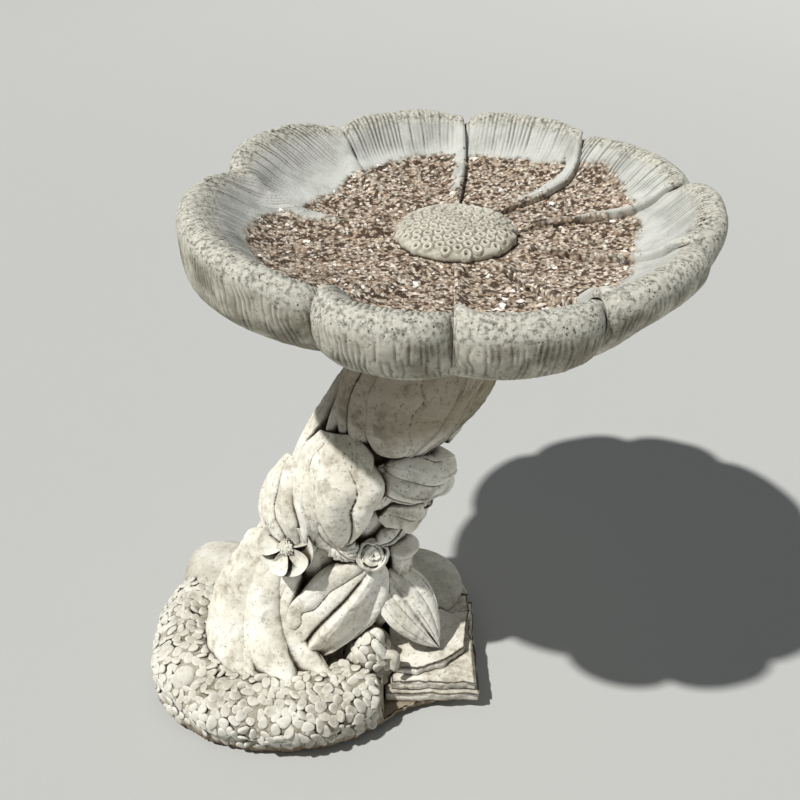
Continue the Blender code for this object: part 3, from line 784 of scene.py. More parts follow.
@dataclass
class FlowerBowl:
    """The nine-petalled bowl, carved petal by petal, with its worn aggregate floor."""

    axis: Vector
    rim: float = 0.474
    radius: float = 0.210
    height: float = 0.090
    hollow: float = 0.040
    lip: float = 0.028
    seat: float = 0.060
    notch_drop: float = 0.009
    notch_cut: float = 0.065
    socket: float = 0.0085
    socket_top: float = 0.407
    ridge: float = 0.0056
    ridge_width: float = 0.0105
    line_pitch: float = 0.0043
    line_depth: float = 0.0014
    stroke_pitch: float = 0.0040
    stroke_depth: float = 0.0012
    pit_size: float = 0.0042
    pit_depth: float = 0.0007
    grain_depth: float = 0.0010
    tongue_depth: float = 0.0012
    # How far past a petal's edges its extra columns lie: the proud edge's drop, and a
    # tongue that runs on under the next petal
    drop_arc: tuple[float, ...] = (-0.0010, -0.0009, -0.0006)
    tongue_arc: tuple[float, ...] = (0.0015, 0.0035)
    rows: int = 210
    step: float = 0.27
    petals: tuple[Petal, ...] = (
        Petal("petal_front_left", -122, 29, -0.003, 0.004, 0.006),
        Petal("petal_front", -93, 31, -0.004, 0.003, 0.003),
        Petal("petal_front_right", -62, 36, 0.003, -0.003, -0.012),
        Petal("petal_right", -26, 35, 0.006, -0.002, -0.018, sway=6, bare=0.45),
        Petal("petal_right_back", 9, 43, -0.004, -0.002, -0.010, sway=7, bare=0.9),
        Petal("petal_back_right", 52, 34, 0.001, 0.000, 0.000, sway=-9, bare=1.0),
        Petal("petal_back", 86, 37, 0.002, 0.000, 0.000, sway=-2, bare=0.85),
        Petal("petal_back_left", 123, 40, 0.008, 0.006, 0.000, sway=3, curl=0.7, bare=0.4),
        Petal("petal_left", 163, 75, 0.010, 0.010, 0.012, sway=9, curl=0.9, bare=0.7),
    )
    # Angle in degrees and the radius at which the worn floor gives way to the petal's wall
    worn_edge: tuple[tuple[float, float], ...] = (
        (-180, 0.160), (-146, 0.166), (-120, 0.163), (-90, 0.172), (-60, 0.164), (-17, 0.143),
        (2, 0.148), (41, 0.172), (58, 0.155), (96, 0.154), (120, 0.146), (140, 0.130),
        (162, 0.134), (180, 0.160),
    )
    noise: Noise = field(default_factory=lambda: Noise(11))

    def profile(self) -> Grid:
        """Radius and height from the floor at the seed head, over the lip, to the underside."""
        floor = self.rim - self.hollow
        half = self.lip / 2
        inside = [
            (0.040, floor), (0.055, floor), (self.radius - 0.105, floor + 0.002),
            (self.radius - 0.065, floor + 0.008), (self.radius - 0.045, floor + 0.016),
            (self.radius - self.lip - 0.006, floor + 0.028),
        ]
        crest = [
            (self.radius - half + half * math.cos(a), self.rim - half + half * math.sin(a))
            for a in map(math.radians, (150, 120, 95, 70, 40, 0))
        ]
        outside = [
            (self.radius - 0.003, self.rim - 0.032), (self.radius - 0.014, self.rim - 0.049),
            (self.radius - 0.030, self.rim - 0.062), (self.radius - 0.060, self.rim - 0.074),
            (self.seat + 0.040, self.rim - self.height + 0.008),
        ]
        return curve_through([*inside, *crest, *outside], self.rows, 4)

    def shaped(self, petal: Petal, share: Grid, angle: Grid, reach: Grid, z: Grid) -> Grid:
        """Points on a petal before its carving, drawn in at the notches.

        Args:
            petal: the petal.
            share: how far round the petal each point is, 0 to 1.
            angle: its angle in radians.
            reach: its distance from the axis.
            z: its height.

        Returns:
            The points in the frame.
        """
        share = np.clip(share, 0, 1)
        lobe = 1 - np.abs(2 * share - 1) ** 3.5
        middle = np.sin(math.pi * share)
        outward = np.clip((reach / self.radius - 0.45) / 0.55, 0, 1)
        upper = np.clip((z - self.rim + self.hollow + 0.03) / 0.05, 0, 1)
        low_wall = hump(z, self.rim - 0.05, 0.016) * outward
        push = (petal.reach * outward**2 + petal.belly * low_wall) * middle
        pull = 1 - self.notch_cut * (1 - lobe) * outward**2 + push / reach
        lift = (petal.tip * lobe - self.notch_drop * (1 - lobe)) * outward**3 * upper
        x = self.axis.x + reach * pull * np.cos(angle)
        y = self.axis.y + reach * pull * np.sin(angle)
        return np.stack([x, y, z + lift], -1)

    def sway(self, petal: Petal, reach: Grid) -> Grid:
        """How far round, in radians, a petal's first edge strays from straight at a radius."""
        share = np.clip((reach - 0.045) / (self.radius - 0.045), 0, 1)
        if petal.sway < 0:
            return math.radians(petal.sway) * np.sin(math.pi * share) ** 1.2
        return math.radians(petal.sway) * (1 - share) ** 2

    def petal_grid(self, index: int) -> PetalGrid:
        """The surface of one petal before its carving."""
        petal, after = self.petals[index], self.petals[(index + 1) % len(self.petals)]
        line = self.profile()
        reach, z = line[:, :1], line[:, 1:]
        steps = np.linalg.norm(np.diff(line, axis=0), axis=1)
        run = np.concatenate([[0], np.cumsum(steps)])[:, None]
        crest = run[int(np.argmax(z))]
        inner = 1 - ramp(run, crest - 0.002, crest + 0.002)
        share = np.linspace(0, 1, int(petal.span / self.step))
        span = math.radians(petal.span)
        arc_to_share = 1 / (span * np.maximum(reach, 0.05))
        before = np.array(self.drop_arc)[None] * arc_to_share
        beyond = 1 + np.array(self.tongue_arc)[None] * arc_to_share
        shares = np.concatenate([before, np.repeat(share[None], self.rows, 0), beyond], axis=1)
        held = np.clip(shares, 0, 1)
        drift = self.sway(petal, reach) * (1 - held) + self.sway(after, reach) * held
        angle = math.radians(petal.first) + span * shares + drift
        points = self.shaped(petal, shares, angle, reach + 0 * shares, z + 0 * shares)
        return PetalGrid(index, shares, angle, reach, run, crest, inner, points)

    def worn_floor(self, grid: PetalGrid, from_first: Grid) -> Grid:
        """1 where the floor is worn to its aggregate, 0 on the wall and on bare ridges."""
        noise, reach = self.noise, grid.reach
        edges = np.array(self.worn_edge)
        edge = np.interp(grid.degrees, edges[:, 0], edges[:, 1])
        edge = edge + noise.rough(grid.points, (0.005, 0.012, 3))
        edge = edge + 0.003 * noise.value(grid.points / 0.003)
        worn = grid.inner * (1 - ramp(reach + 0 * edge, edge - 0.003, edge + 0.003))
        bare = hump(from_first, 0.0040, 0.0062) * ramp(reach, 0.055, 0.130)
        bare = bare * self.petals[grid.index].bare + noise.rough(grid.points, (0.45, 0.008, 3))
        return worn * (1 - ramp(bare, 0.30, 0.65))

    def edge_relief(
        self, grid: PetalGrid, from_first: Grid, from_last: Grid, on_lip: Grid
    ) -> tuple[Grid, Grid]:
        """The proud first edge, the hollow that it leaves along its neighbour, and the notch.

        Args:
            grid: the petal.
            from_first: each point's distance from the first edge, in metres.
            from_last: its distance from the last edge.
            on_lip: 1 on the inner half of the lip, one value for each row.

        Returns:
            The heights in metres, and how proud each point is, 0 to 1.
        """
        reach, run, inner, crest = grid.reach, grid.run, grid.inner, grid.crest
        along = ramp(reach, 0.048, 0.070) * (0.55 + 0.45 * inner)
        along = along * (inner + (1 - inner) * (1 - ramp(run, crest + 0.01, crest + 0.07)))
        proud = np.exp(-((np.maximum(from_first, 0) / self.ridge_width) ** 2))
        proud = proud * (0.82 + 0.18 * ramp(from_first, 0, 0.0015))
        wavy = 1 + self.noise.rough(grid.points, (0.25, 0.022, 2))
        hollow = 0.0016 * along * np.exp(-((np.maximum(from_last, 0) / 0.006) ** 2))
        notch = np.maximum(np.minimum(from_first, from_last), 0)
        crease = 0.0030 * (1 - inner + on_lip) * np.exp(-notch / 0.005)
        crease = crease * (1 - ramp(run, crest + 0.03, crest + 0.08))
        height = self.ridge * along * proud * wavy - hollow - crease
        drop = grid.shares < 0
        steps = np.linspace(0.1, 0.9, len(self.drop_arc))[np.clip(grid.column, 0, 2)]
        height = np.where(drop, height * steps, height)
        height = np.where(grid.shares > 1, -self.tongue_depth, height)
        return np.where(drop & (grid.column == 0), -0.0015, height), proud

    def wall_lines(self, grid: PetalGrid) -> tuple[Grid, Grid]:
        """Fine lines that sweep round on the curled petals: everywhere, and up the wall only."""
        petal, reach = self.petals[grid.index], grid.reach
        bend = petal.curl * (1 - reach / self.radius)
        strand = (grid.angle + bend) * self.radius / self.line_pitch
        lines = self.scratches(strand, grid.run + 0 * strand, grid.index * 9.1)
        low = 0.146 if petal.curl else 0.150
        upper = ramp(reach, low, low + 0.024) * (1 - ramp(reach, 0.194, 0.204))
        fade = 0.55 + 0.45 * ramp(self.noise.layered(grid.points, 0.03, 2), -0.3, 0.2)
        return lines, lines * upper * grid.inner * fade

    def lichen(self, grid: PetalGrid) -> Grid:
        """Where dark lichen grows: the back rim, one spot on the right and the front seam."""
        degrees, inner, reach = grid.degrees, grid.inner, grid.reach
        back_rim = ramp(degrees, 118, 128) * (1 - ramp(degrees, 176, 186))
        patches = ramp(self.noise.layered(grid.points, 0.02), 0.0, 0.2)
        growth = back_rim * hump(grid.run, grid.crest - 0.002, 0.006) * patches
        spot = hump(degrees, -19, 4.0) * hump(reach, 0.188, 0.007) * inner
        seam = hump(reach, self.radius - self.lip - 0.004, 0.004) * inner
        front = 1 - ramp(np.abs(degrees + 112), 8, 26)
        patches = ramp(self.noise.layered(grid.points, 0.016), 0.05, 0.2)
        return np.clip(growth + spot * 1.4 + seam * front * patches, 0, 1)

    def petal_shell(self, index: int) -> Shell:
        """The carved surface of one petal, with its masks."""
        grid, noise, petal = self.petal_grid(index), self.noise, self.petals[index]
        points, reach, run = grid.points, grid.reach, grid.run
        inner, crest, shares = grid.inner, grid.crest, grid.shares
        span = math.radians(petal.span)
        from_first, from_last = shares * span * reach, (1 - shares) * span * reach
        worn = self.worn_floor(grid, from_first)
        lip_start = self.radius - self.lip - 0.004
        on_lip = ramp(reach, lip_start, lip_start + 0.010) * inner
        wall = inner * (1 - worn) * (1 - on_lip)
        outer = (1 - inner) * ramp(run, crest + 0.014, crest + 0.026) + 0 * shares
        height, proud = self.edge_relief(grid, from_first, from_last, on_lip)
        # Lumps left by the hand-made mould
        height = height + noise.rough(points, (0.0011, 0.034, 3)) * (1 - (shares < 0))
        height = height + noise.rough(points, (0.0004, 0.007, 2)) * (1 - 0.6 * wall)
        lines, groove = self.wall_lines(grid)
        groove = groove * (1 - proud)
        if petal.curl:
            swept = ramp(reach, 0.105, 0.125) * (1 - ramp(reach, 0.150, 0.170))
            last = index == len(self.petals) - 1
            groove = np.maximum(groove, 0.75 * lines * swept * inner * last)
        # Short strokes of the chisel down the outer face
        place = grid.angle * self.radius / self.stroke_pitch
        strokes = self.scratches(place, 2.2 * run + 0 * place, 3.0 + index)
        strokes = strokes * outer * (1 - ramp(run, crest + 0.060, crest + 0.090))
        height = height - self.line_depth * groove - self.stroke_depth * strokes
        # Pits on the lip, packed grains on the floor
        near, second, name = noise.cells(points, self.pit_size)
        pits = (name > 0.62) * ramp(near, 0.42, 0.10) * (1 - wall) * (1 - worn)
        grains = self.grain_depth * ramp(second - near, 0.0, 0.35) * (name - 0.2)
        height = height - self.pit_depth * pits * (1 - 0.6 * outer)
        height = height + worn * (grains - 0.0012 + noise.rough(points, (0.0009, 0.014, 3)))
        marks = np.clip(groove + 0.55 * strokes + 0.5 * pits, 0, 1)
        masks = {"worn": worn, "wall": wall, "outer": outer, "groove": marks}
        return Shell(points, masks=masks | {"lichen": self.lichen(grid)}).push(height)

    def scratches(self, strand: Grid, along: Grid, seed: float) -> Grid:
        """Thin, close lines, each with its own strength.

        Args:
            strand: how many lines lie before each point.
            along: the distance along the lines, in metres.
            seed: what sets one place's lines apart from another's.

        Returns:
            1 in the middle of a strong line and 0 between the lines.
        """
        place = np.stack([strand * 0.35, along * 30, 0 * strand + seed], -1)
        strand = strand + 0.55 * self.noise.value(place)
        number = np.floor(strand)
        off = np.abs(strand - number - 0.5) * 2
        kind = self.noise.value(np.stack([number * 1.7, along * 28, 0 * strand + seed + 4], -1))
        return np.exp(-((off / 0.42) ** 2)) * ramp(kind, -0.55, 0.35)

    def foot_shell(self) -> Shell:
        """The underside: from the petals in to the seat, and up into the pin's socket."""
        under = self.rim - self.height
        line = curve_through(
            [
                (self.seat + 0.042, under + 0.0085), (self.seat + 0.025, under + 0.0035),
                (self.seat + 0.010, under + 0.0002), (self.seat, under), (0.03, under),
                (self.socket, under),
            ],
            40, 1,
        )
        top = self.socket_top
        wall = [(self.socket, under + 0.002), (self.socket, top), (0.0004, top)]
        line = np.concatenate([line, wall])
        angle = all_round(180)[None]
        x = self.axis.x + line[:, :1] * np.cos(angle)
        y = self.axis.y + line[:, :1] * np.sin(angle)
        shell = Shell(np.stack([x, y, line[:, 1:] + 0 * angle], -1), ring=True)
        rough = ramp(line[:, :1], self.seat, self.seat + 0.006) + 0 * angle
        shell.push(self.noise.rough(shell.points, (0.0006, 0.012, 3)) * rough)
        shell.masks = {key: 0 * x for key in ("worn", "wall", "groove", "lichen")}
        shell.masks["outer"] = 1 + 0 * x
        return shell

    def build(self) -> None:
        """Makes the petals, the foot and the aggregate."""
        finish = PetalStone().build()
        made = []
        for index, petal in enumerate(self.petals):
            piece = make_piece(petal.name, [self.petal_shell(index)])
            made.append(install(piece, Body.BOWL, "bowl_stone", finish, "flower_bowl"))
        foot = weld(make_piece("bowl_foot", [self.foot_shell()], (False, True)))
        install(foot, Body.BOWL, "bowl_stone", finish)
        Aggregate(self, Castable(made)).build()


@dataclass
class Aggregate:
    """Grains and chips of marble that the worn floor has let stand out."""

    bowl: FlowerBowl
    floor: Castable
    grains: int = 2600
    chips: int = 800
    seed: int = 23
    corners: int = 9

    def grain(self, work: bmesh.types.BMesh, place: Vector, size: Vector, rng: Random) -> int:
        """Adds one many-sided grain.

        Args:
            work: the mesh that it joins.
            place: its middle.
            size: its half length, half width and half height.
            rng: the source of its irregular shape.

        Returns:
            How many points it has.
        """
        turn = rng.uniform(0, math.pi)
        cos, sin = math.cos(turn), math.sin(turn)
        added = []
        for way in unit(rng.normal(size=(self.corners, 3))):
            x, y, z = (way[i] * size[i] * rng.uniform(0.75, 1.0) for i in range(3))
            corner = place + Vector((x * cos - y * sin, x * sin + y * cos, z))
            added.append(work.verts.new(corner))
        found = bmesh.ops.convex_hull(work, input=added)
        spare = [v for v in found["geom_interior"] if isinstance(v, bmesh.types.BMVert)]
        bmesh.ops.delete(work, geom=spare, context="VERTS")
        return len(added) - len(spare)

    def scatter(self, name: str, count: int, low: float, high: float, deep: float) -> Piece:
        """Sinks a number of grains into the floor.

        Args:
            name: the piece's name.
            count: how many places to try.
            low: the smallest half length of a grain, in metres.
            high: the largest half length.
            deep: the share of a grain's half height by which its middle is sunk.

        Returns:
            The piece.
        """
        rng = np.random.default_rng(self.seed + count)
        work = bmesh.new()
        shades: list[float] = []
        edges = np.array(self.bowl.worn_edge)
        for _ in range(count):
            angle = rng.uniform(-180, 180)
            edge = float(np.interp(angle, edges[:, 0], edges[:, 1]))
            reach = math.sqrt(rng.uniform(0.052**2, (edge + 0.002) ** 2))
            a = math.radians(angle)
            x = self.bowl.axis.x + reach * math.cos(a)
            y = self.bowl.axis.y + reach * math.sin(a)
            thick = 0.5 + 0.5 * max(0.0, math.cos(a + 1.9))
            found = self.floor.below(x, y)
            if found is None or rng.random() > thick or found[1].z < 0.6:
                continue
            half = low + (high - low) * rng.random() ** 1.6
            size = Vector((half, half * rng.uniform(0.70, 0.98), half * rng.uniform(0.40, 0.65)))
            place = found[0] - Vector((0, 0, size.z * deep))
            pale = rng.random() ** (0.75 if high > 0.003 else 1.3)
            shades += [pale] * self.grain(work, place, size, rng)
        mesh = bpy.data.meshes.new(name)
        work.to_mesh(mesh)
        work.free()
        mesh.attributes.new("shade", "FLOAT", "POINT").data.foreach_set("value", shades)
        obj = bpy.data.objects.new(name, mesh)
        bpy.context.scene.collection.objects.link(obj)
        return obj

    def build(self) -> None:
        """Makes the small grains and the large chips."""
        finish = ChipStone().build()
        for piece in (
            self.scatter("floor_grains", self.grains, 0.0010, 0.0022, 0.25),
            self.scatter("floor_chips", self.chips, 0.0022, 0.0056, 0.35),
        ):
            install(piece, Body.BOWL, "bowl_stone", finish)


@dataclass
class SeedHead:
    """The low dome in the middle of the flower, set with small ringed seeds."""

    axis: Vector
    radius: float = 0.049
    seeds: int = 104
    scatter: float = 0.0006
    skirt: float = 0.004
    rows: int = 120
    columns: int = 420
    noise: Noise = field(default_factory=lambda: Noise(31))
    GOLDEN_ANGLE = 2.39996

    def build(self) -> None:
        """Makes the dome from its box in the frame."""
        low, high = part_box("seed_head")
        rise = high.z - low.z
        tilt = np.linspace(0.002, 1, self.rows)[:, None] * math.pi / 2
        reach = self.radius * np.sin(tilt)
        z = low.z + 0.002 + (rise - 0.002) * np.cos(tilt) ** 0.9
        angle = all_round(self.columns)[None]
        x, y = self.axis.x + reach * np.cos(angle), self.axis.y + reach * np.sin(angle)
        shell = Shell(np.stack([x, y, z + 0 * angle], -1), ring=True)
        number = np.arange(self.seeds) + 0.5
        spiral = self.GOLDEN_ANGLE * number
        spread = self.radius * 0.97 * np.sqrt(number / self.seeds)
        spread += np.random.default_rng(5).normal(0, self.scatter, self.seeds)
        seed_x = self.axis.x + spread * np.cos(spiral)
        seed_y = self.axis.y + spread * np.sin(spiral)
        near = np.full(shell.points.shape[:-1], 1.0)
        for middle in np.stack([seed_x, seed_y], -1):
            near = np.minimum(near, np.linalg.norm(shell.points[..., :2] - middle, axis=-1))
        rough = self.noise.layered(shell.points, 0.004, 3)
        ring = 0.0012 * hump(near, 0.0027 + 0.0003 * rough, 0.0010)
        pinhole = 0.0018 * hump(near, 0, 0.0009)
        gap = 0.0010 * ramp(near, 0.0038, 0.0052)
        lumps = self.noise.rough(shell.points, (0.0008, 0.02, 2))
        shell.push(ring - pinhole - gap + 0.0004 * rough + lumps)
        skirt = shell.points[-1:] - np.array([0, 0, self.skirt])
        shell.points = np.concatenate([shell.points, skirt])
        stone = CastStone(
            "seed_head_stone", tint(206, 202, 188), tint(182, 178, 164), tint(128, 122, 108),
            tint(92, 84, 70), speckle=0.7, reach=0.005, crevice_shade_and_dirt=1.1, relief=0.0004,
        )
        carved("seed_head", [shell], stone.build(), "seed_head_stone", Body.BOWL)


# Stem and its ornaments


@dataclass
class StemForm:
    """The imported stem's surface, read once, as a height share and an angle round it."""

    rows: int = 120
    columns: int = 144
    low: float = 0.105
    high: float = 0.998
    foot_share: float = 0.12
    AFAR = 0.4

    def __post_init__(self) -> None:
        """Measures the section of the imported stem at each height."""
        stem = frame["nodes"]["stem"]
        cast = Castable([stem])
        bottom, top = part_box("stem")
        self.top = top.z
        foot_top = bottom.z + self.foot_share * (top.z - bottom.z)
        middles, reaches = [], []
        corners = [stem.matrix_world @ corner.co for corner in stem.data.vertices]
        foot = [corner for corner in corners if corner.z < foot_top]
        middle = sum(foot, Vector()).xy / len(foot)
        for share in np.linspace(self.low, self.high, self.rows):
            middle, half = self.section(cast, middle, share * self.top)
            row = []
            for angle in all_round(self.columns):
                way = Vector((half.x * math.cos(angle), half.y * math.sin(angle), 0)).normalized()
                start = Vector((middle.x, middle.y, share * self.top)) + way * self.AFAR
                met = cast.hit(start, -way)
                row.append(self.AFAR - (met - start).length if met else row[-1])
            middles.append((middle.x, middle.y, half.x, half.y))
            reaches.append(row)
        self.middles = blur(np.array(middles), 12, 0)
        self.reaches = blur(blur(np.array(reaches), 14, 0), 12, 1, ring=True)

    def section(self, cast: Castable, near: Vector, z: float) -> tuple[Vector, Vector]:
        """The middle and the half widths of the stem at a height."""
        x, y = near
        for _ in range(2):
            left = cast.hit((x - self.AFAR, y, z), (1, 0, 0))
            right = cast.hit((x + self.AFAR, y, z), (-1, 0, 0))
            x = (left.x + right.x) / 2
            front = cast.hit((x, y - self.AFAR, z), (0, 1, 0))
            back = cast.hit((x, y + self.AFAR, z), (0, -1, 0))
            y = (front.y + back.y) / 2
        return Vector((x, y)), Vector(((right.x - left.x) / 2, (back.y - front.y) / 2))

    def at(self, share: Grid, angle: Grid, out: Grid | float = 0.0) -> Grid:
        """Points on the stem, or out from it.

        Args:
            share: height as a share of the stem's, for each point.
            angle: the way round in radians: 0 to the right, minus a quarter turn in front.
            out: how far out from the surface, in metres.

        Returns:
            The points in the frame.
        """
        place = np.clip((share - self.low) / (self.high - self.low), 0, 1) * (self.rows - 1)
        column = (angle / TURN % 1) * self.columns
        row = np.minimum(place.astype(int), self.rows - 2)
        left = column.astype(int) % self.columns
        right = (left + 1) % self.columns
        up, round_by = place - row, column - np.floor(column)
        reach = 0
        for r, weight in ((row, 1 - up), (row + 1, up)):
            pair = self.reaches[r, left] * (1 - round_by) + self.reaches[r, right] * round_by
            reach = reach + pair * weight
        middle = self.middles[row] * (1 - up)[..., None] + self.middles[row + 1] * up[..., None]
        way = unit(np.stack([middle[..., 2] * np.cos(angle), middle[..., 3] * np.sin(angle)], -1))
        flat = middle[..., :2] + way * (reach + out)[..., None]
        return np.concatenate([flat, (share * self.top)[..., None]], -1)

    def out_from(self, share: Grid, angle: Grid) -> Grid:
        """The outward direction at each place on the stem."""
        up = self.at(share + 0.02, angle) - self.at(share - 0.02, angle)
        left = self.at(share, angle + 0.12) - self.at(share, angle - 0.12)
        return unit(np.cross(left, up))

    def spot(self, share: float, degrees: float, out: float = 0.0) -> tuple[Grid, Grid]:
        """One point on the stem and its outward direction."""
        pair = np.array(share), np.array(math.radians(degrees))
        way = self.out_from(*pair)
        return self.at(*pair) + way * out, way


class Edge(Enum):
    """How the edge of a carved leaf meets what it lies on."""

    SOFT = 0.0016
    CUT = 0.0034
    FREE = 0.0060


@dataclass(frozen=True)
class Leaf:
    """A leaf, petal or fold of drapery carved in relief.

    Its root and tip are each a height share, an angle in degrees and a height above the
    stem. Lengths are in metres.
    """

    name: str
    root: tuple[float, float, float]
    tip: tuple[float, float, float]
    width: float
    arch: float = 0.006
    fullest: float = 0.8
    blunt: float = 0.5
    edge: Edge = Edge.CUT
    midrib: float = 0.0012
    veins: int = 0
    vein_depth: float = 0.0006
    flutes: float = 0.0
    flute_depth: float = 0.0
    flute_turn: float = 0.0
    roll: float = 0.0
    roll_side: int = 1
    scallops: int = 0
    scallop_depth: float = 0.0
    steps: int = 0
    bend: float = 0.0
    pinholes: tuple[tuple[float, float], ...] = ()
    rows: int = 120
    columns: int = 84


@dataclass
class Carver:
    """Carves leaves in relief on the stem's surface."""

    form: StemForm
    finish: Material
    noise: Noise = field(default_factory=lambda: Noise(47))
    # How far each step of the turned-down edge falls, as a share, and how far out it lies
    SKIRT = ((0.0, 0.0), (0.25, 0.0003), (0.7, 0.0001), (1.0, -0.0010), (1.0, -0.0030))
    ROOT_DEPTH = 0.0035
    STEP = 0.0018
    PINHOLE = 0.0022

    def relief(self, leaf: Leaf, s: Grid, v: Grid, points: Grid) -> Grid:
        """How high each point of a leaf stands above its body.

        Args:
            leaf: the leaf.
            s: how far along it each point is, 0 at the root.
            v: how far across it, -1 to 1.
            points: the points, for noise.

        Returns:
            The heights in metres.
        """
        inside = np.sin(math.pi * np.clip(s, 0.02, 0.98)) ** 0.5
        high = 0.0016 * (1 - np.abs(v) ** 3)
        centre = 0.14 * np.sin(3.4 * s + 0.6 * len(leaf.name))
        high = high - leaf.midrib * hump(v, centre, 0.07) * ramp(s, 0.0, 0.15) * inside
        lip = ramp(v - centre, 0.0, 0.16) * (1 - ramp(v - centre, 0.16, 0.80))
        high = high + 0.8 * leaf.midrib * lip * inside
        if leaf.veins:
            slant = (s - 0.42 * np.abs(v)) * leaf.veins
            line = np.abs((slant % 1) - 0.5) * 2
            veined = ramp(np.abs(v), 0.08, 0.3)
            high = high - leaf.vein_depth * ramp(line, 0.55, 0.95) * veined
        if leaf.flutes:
            phase = v * leaf.flutes + leaf.flute_turn * s
            phase = phase + 0.35 * np.sin(3 * s + 1.3 * len(leaf.name))
            phase = phase + self.noise.rough(points, (0.5, 0.03, 2))
            fold = np.stack([np.round(phase / 2) * 1.7, 1.5 * s, 0 * s + leaf.width * 90], -1)
            depth = 1 + 0.7 * self.noise.value(fold)
            wave = 1 - 2 * np.abs(np.sin(math.pi * phase / 2)) ** 0.55
            high = high - leaf.flute_depth * depth * wave * (0.35 + 0.65 * inside)
        if leaf.roll:
            side = v * leaf.roll_side
            rolled = hump(side, 0.86, 0.20) - 0.35 * hump(side, 0.50, 0.20)
            high = high + leaf.roll * rolled * inside
        if leaf.steps:
            stair = np.clip(v, 0.1, 1) * leaf.steps
            high = high + self.STEP * (1 - ramp(stair % 1, 0.0, 0.25)) * (v > 0.1)
        for along, across in leaf.pinholes:
            spot = np.exp(-(((s - along) / 0.022) ** 2) - ((v - across) / 0.045) ** 2)
            high = high - self.PINHOLE * spot
        return high + self.noise.rough(points, (0.0015, 0.014, 3), (0.0004, 0.003, 2))

    def outline(self, leaf: Leaf, s: Grid, v: Grid) -> Grid:
        """How wide the leaf is on each side at each share of its length, in metres."""
        body = np.clip(0.03 + 0.94 * s, 0, 1)
        half = leaf.width / 2 * np.sin(math.pi * body**leaf.fullest) ** leaf.blunt
        if leaf.scallops:
            wave = np.abs(np.sin(math.pi * (leaf.scallops * s + 0.2 * np.sign(v))))
            half = half * (1 - leaf.scallop_depth * (1 - wave))
        place = np.stack([s * 7, np.sign(v), 0 * s + len(leaf.name)], -1)
        return half * (1 + 0.05 * self.noise.value(place))

    def carve(self, leaf: Leaf) -> Shell:
        """The leaf's surface, with a skirt that turns down into the stem all round."""
        skirt = len(self.SKIRT) - 1
        row, column, below, beside = padded_levels(leaf.rows, leaf.columns, skirt)
        s, v = row / (leaf.rows - 1), 2 * column / (leaf.columns - 1) - 1
        level = np.maximum(below, beside)
        fall, outset = np.array(self.SKIRT)[level].transpose(2, 0, 1)
        (share0, angle0, out0), (share1, angle1, out1) = leaf.root, leaf.tip
        angle0, angle1 = math.radians(angle0), math.radians(angle1)
        angle1 += TURN * round((angle0 - angle1) / TURN)
        sideways = leaf.bend * np.sin(math.pi * s)
        middle_share = share0 + (share1 - share0) * s
        middle_angle = angle0 + (angle1 - angle0) * s
        sides = [self.form.at(middle_share, middle_angle + step) for step in (0.05, -0.05)]
        girth = np.linalg.norm(sides[0] - sides[1], axis=-1) / 0.1
        run_up = (share1 - share0) * self.form.top
        run_round = (angle1 - angle0) * float(girth.mean())
        length = math.hypot(run_up, run_round)
        across_up, across_round = run_round / length, -run_up / length
        reach = v * self.outline(leaf, s, v) + sideways + np.sign(v) * outset * (beside >= below)
        share = middle_share + reach * across_up / self.form.top
        angle = middle_angle + reach * across_round / girth
        out = out0 + (out1 - out0) * s + leaf.arch * np.sin(math.pi * s)
        out = out * (1 - 0.25 * np.abs(v) ** 3) + leaf.edge.value
        body = self.form.at(share, angle)
        way = self.form.out_from(share, angle)
        height = out + self.relief(leaf, s, v, body)
        height = height * (1 - fall) - self.ROOT_DEPTH * (level == skirt)
        return Shell(body + way * height[..., None])

    def build(self, leaf: Leaf) -> Piece:
        """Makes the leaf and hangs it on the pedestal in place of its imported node."""
        piece = weld(make_piece(leaf.name + "_carved", [self.carve(leaf)]), 0.00004)
        return install(piece, Body.PEDESTAL, "stem_stone", self.finish, leaf.name)


def padded_levels(rows: int, columns: int, pad: int) -> tuple[Grid, Grid, Grid, Grid]:
    """The row and column of each point of a grid whose edge is repeated outward.

    Args:
        rows: the grid's rows.
        columns: its columns.
        pad: how many times the edge is repeated.

    Returns:
        Each point's row and column in the grid, and how far past it lies along each.
    """
    row, column = np.mgrid[-pad : rows + pad, -pad : columns + pad]
    held_row, held_column = np.clip(row, 0, rows - 1), np.clip(column, 0, columns - 1)
    return held_row, held_column, abs(row - held_row), abs(column - held_column)


def with_skirt(top: Grid, way: Grid, depths: Sequence[float], inward: Sequence[float]) -> Shell:
    """A carved face with its edge turned back all round.

    Args:
        top: the face's points, rows by columns.
        way: the direction that the face looks, for each point or for all.
        depths: how far below the edge each step of the skirt lies, in metres.
        inward: how far each step is drawn in, as a share of the way to the middle.

    Returns:
        The face and its skirt.
    """
    row, column, below, beside = padded_levels(*top.shape[:2], len(depths))
    level = np.maximum(below, beside)
    way = np.broadcast_to(way, top.shape)
    middle = top.mean(axis=(0, 1))
    depth = np.array([0.0, *depths])[level][..., None]
    pull = np.array([0.0, *inward])[level][..., None]
    edge = top[row, column]
    return Shell(edge - way[row, column] * depth + (middle - edge) * pull)


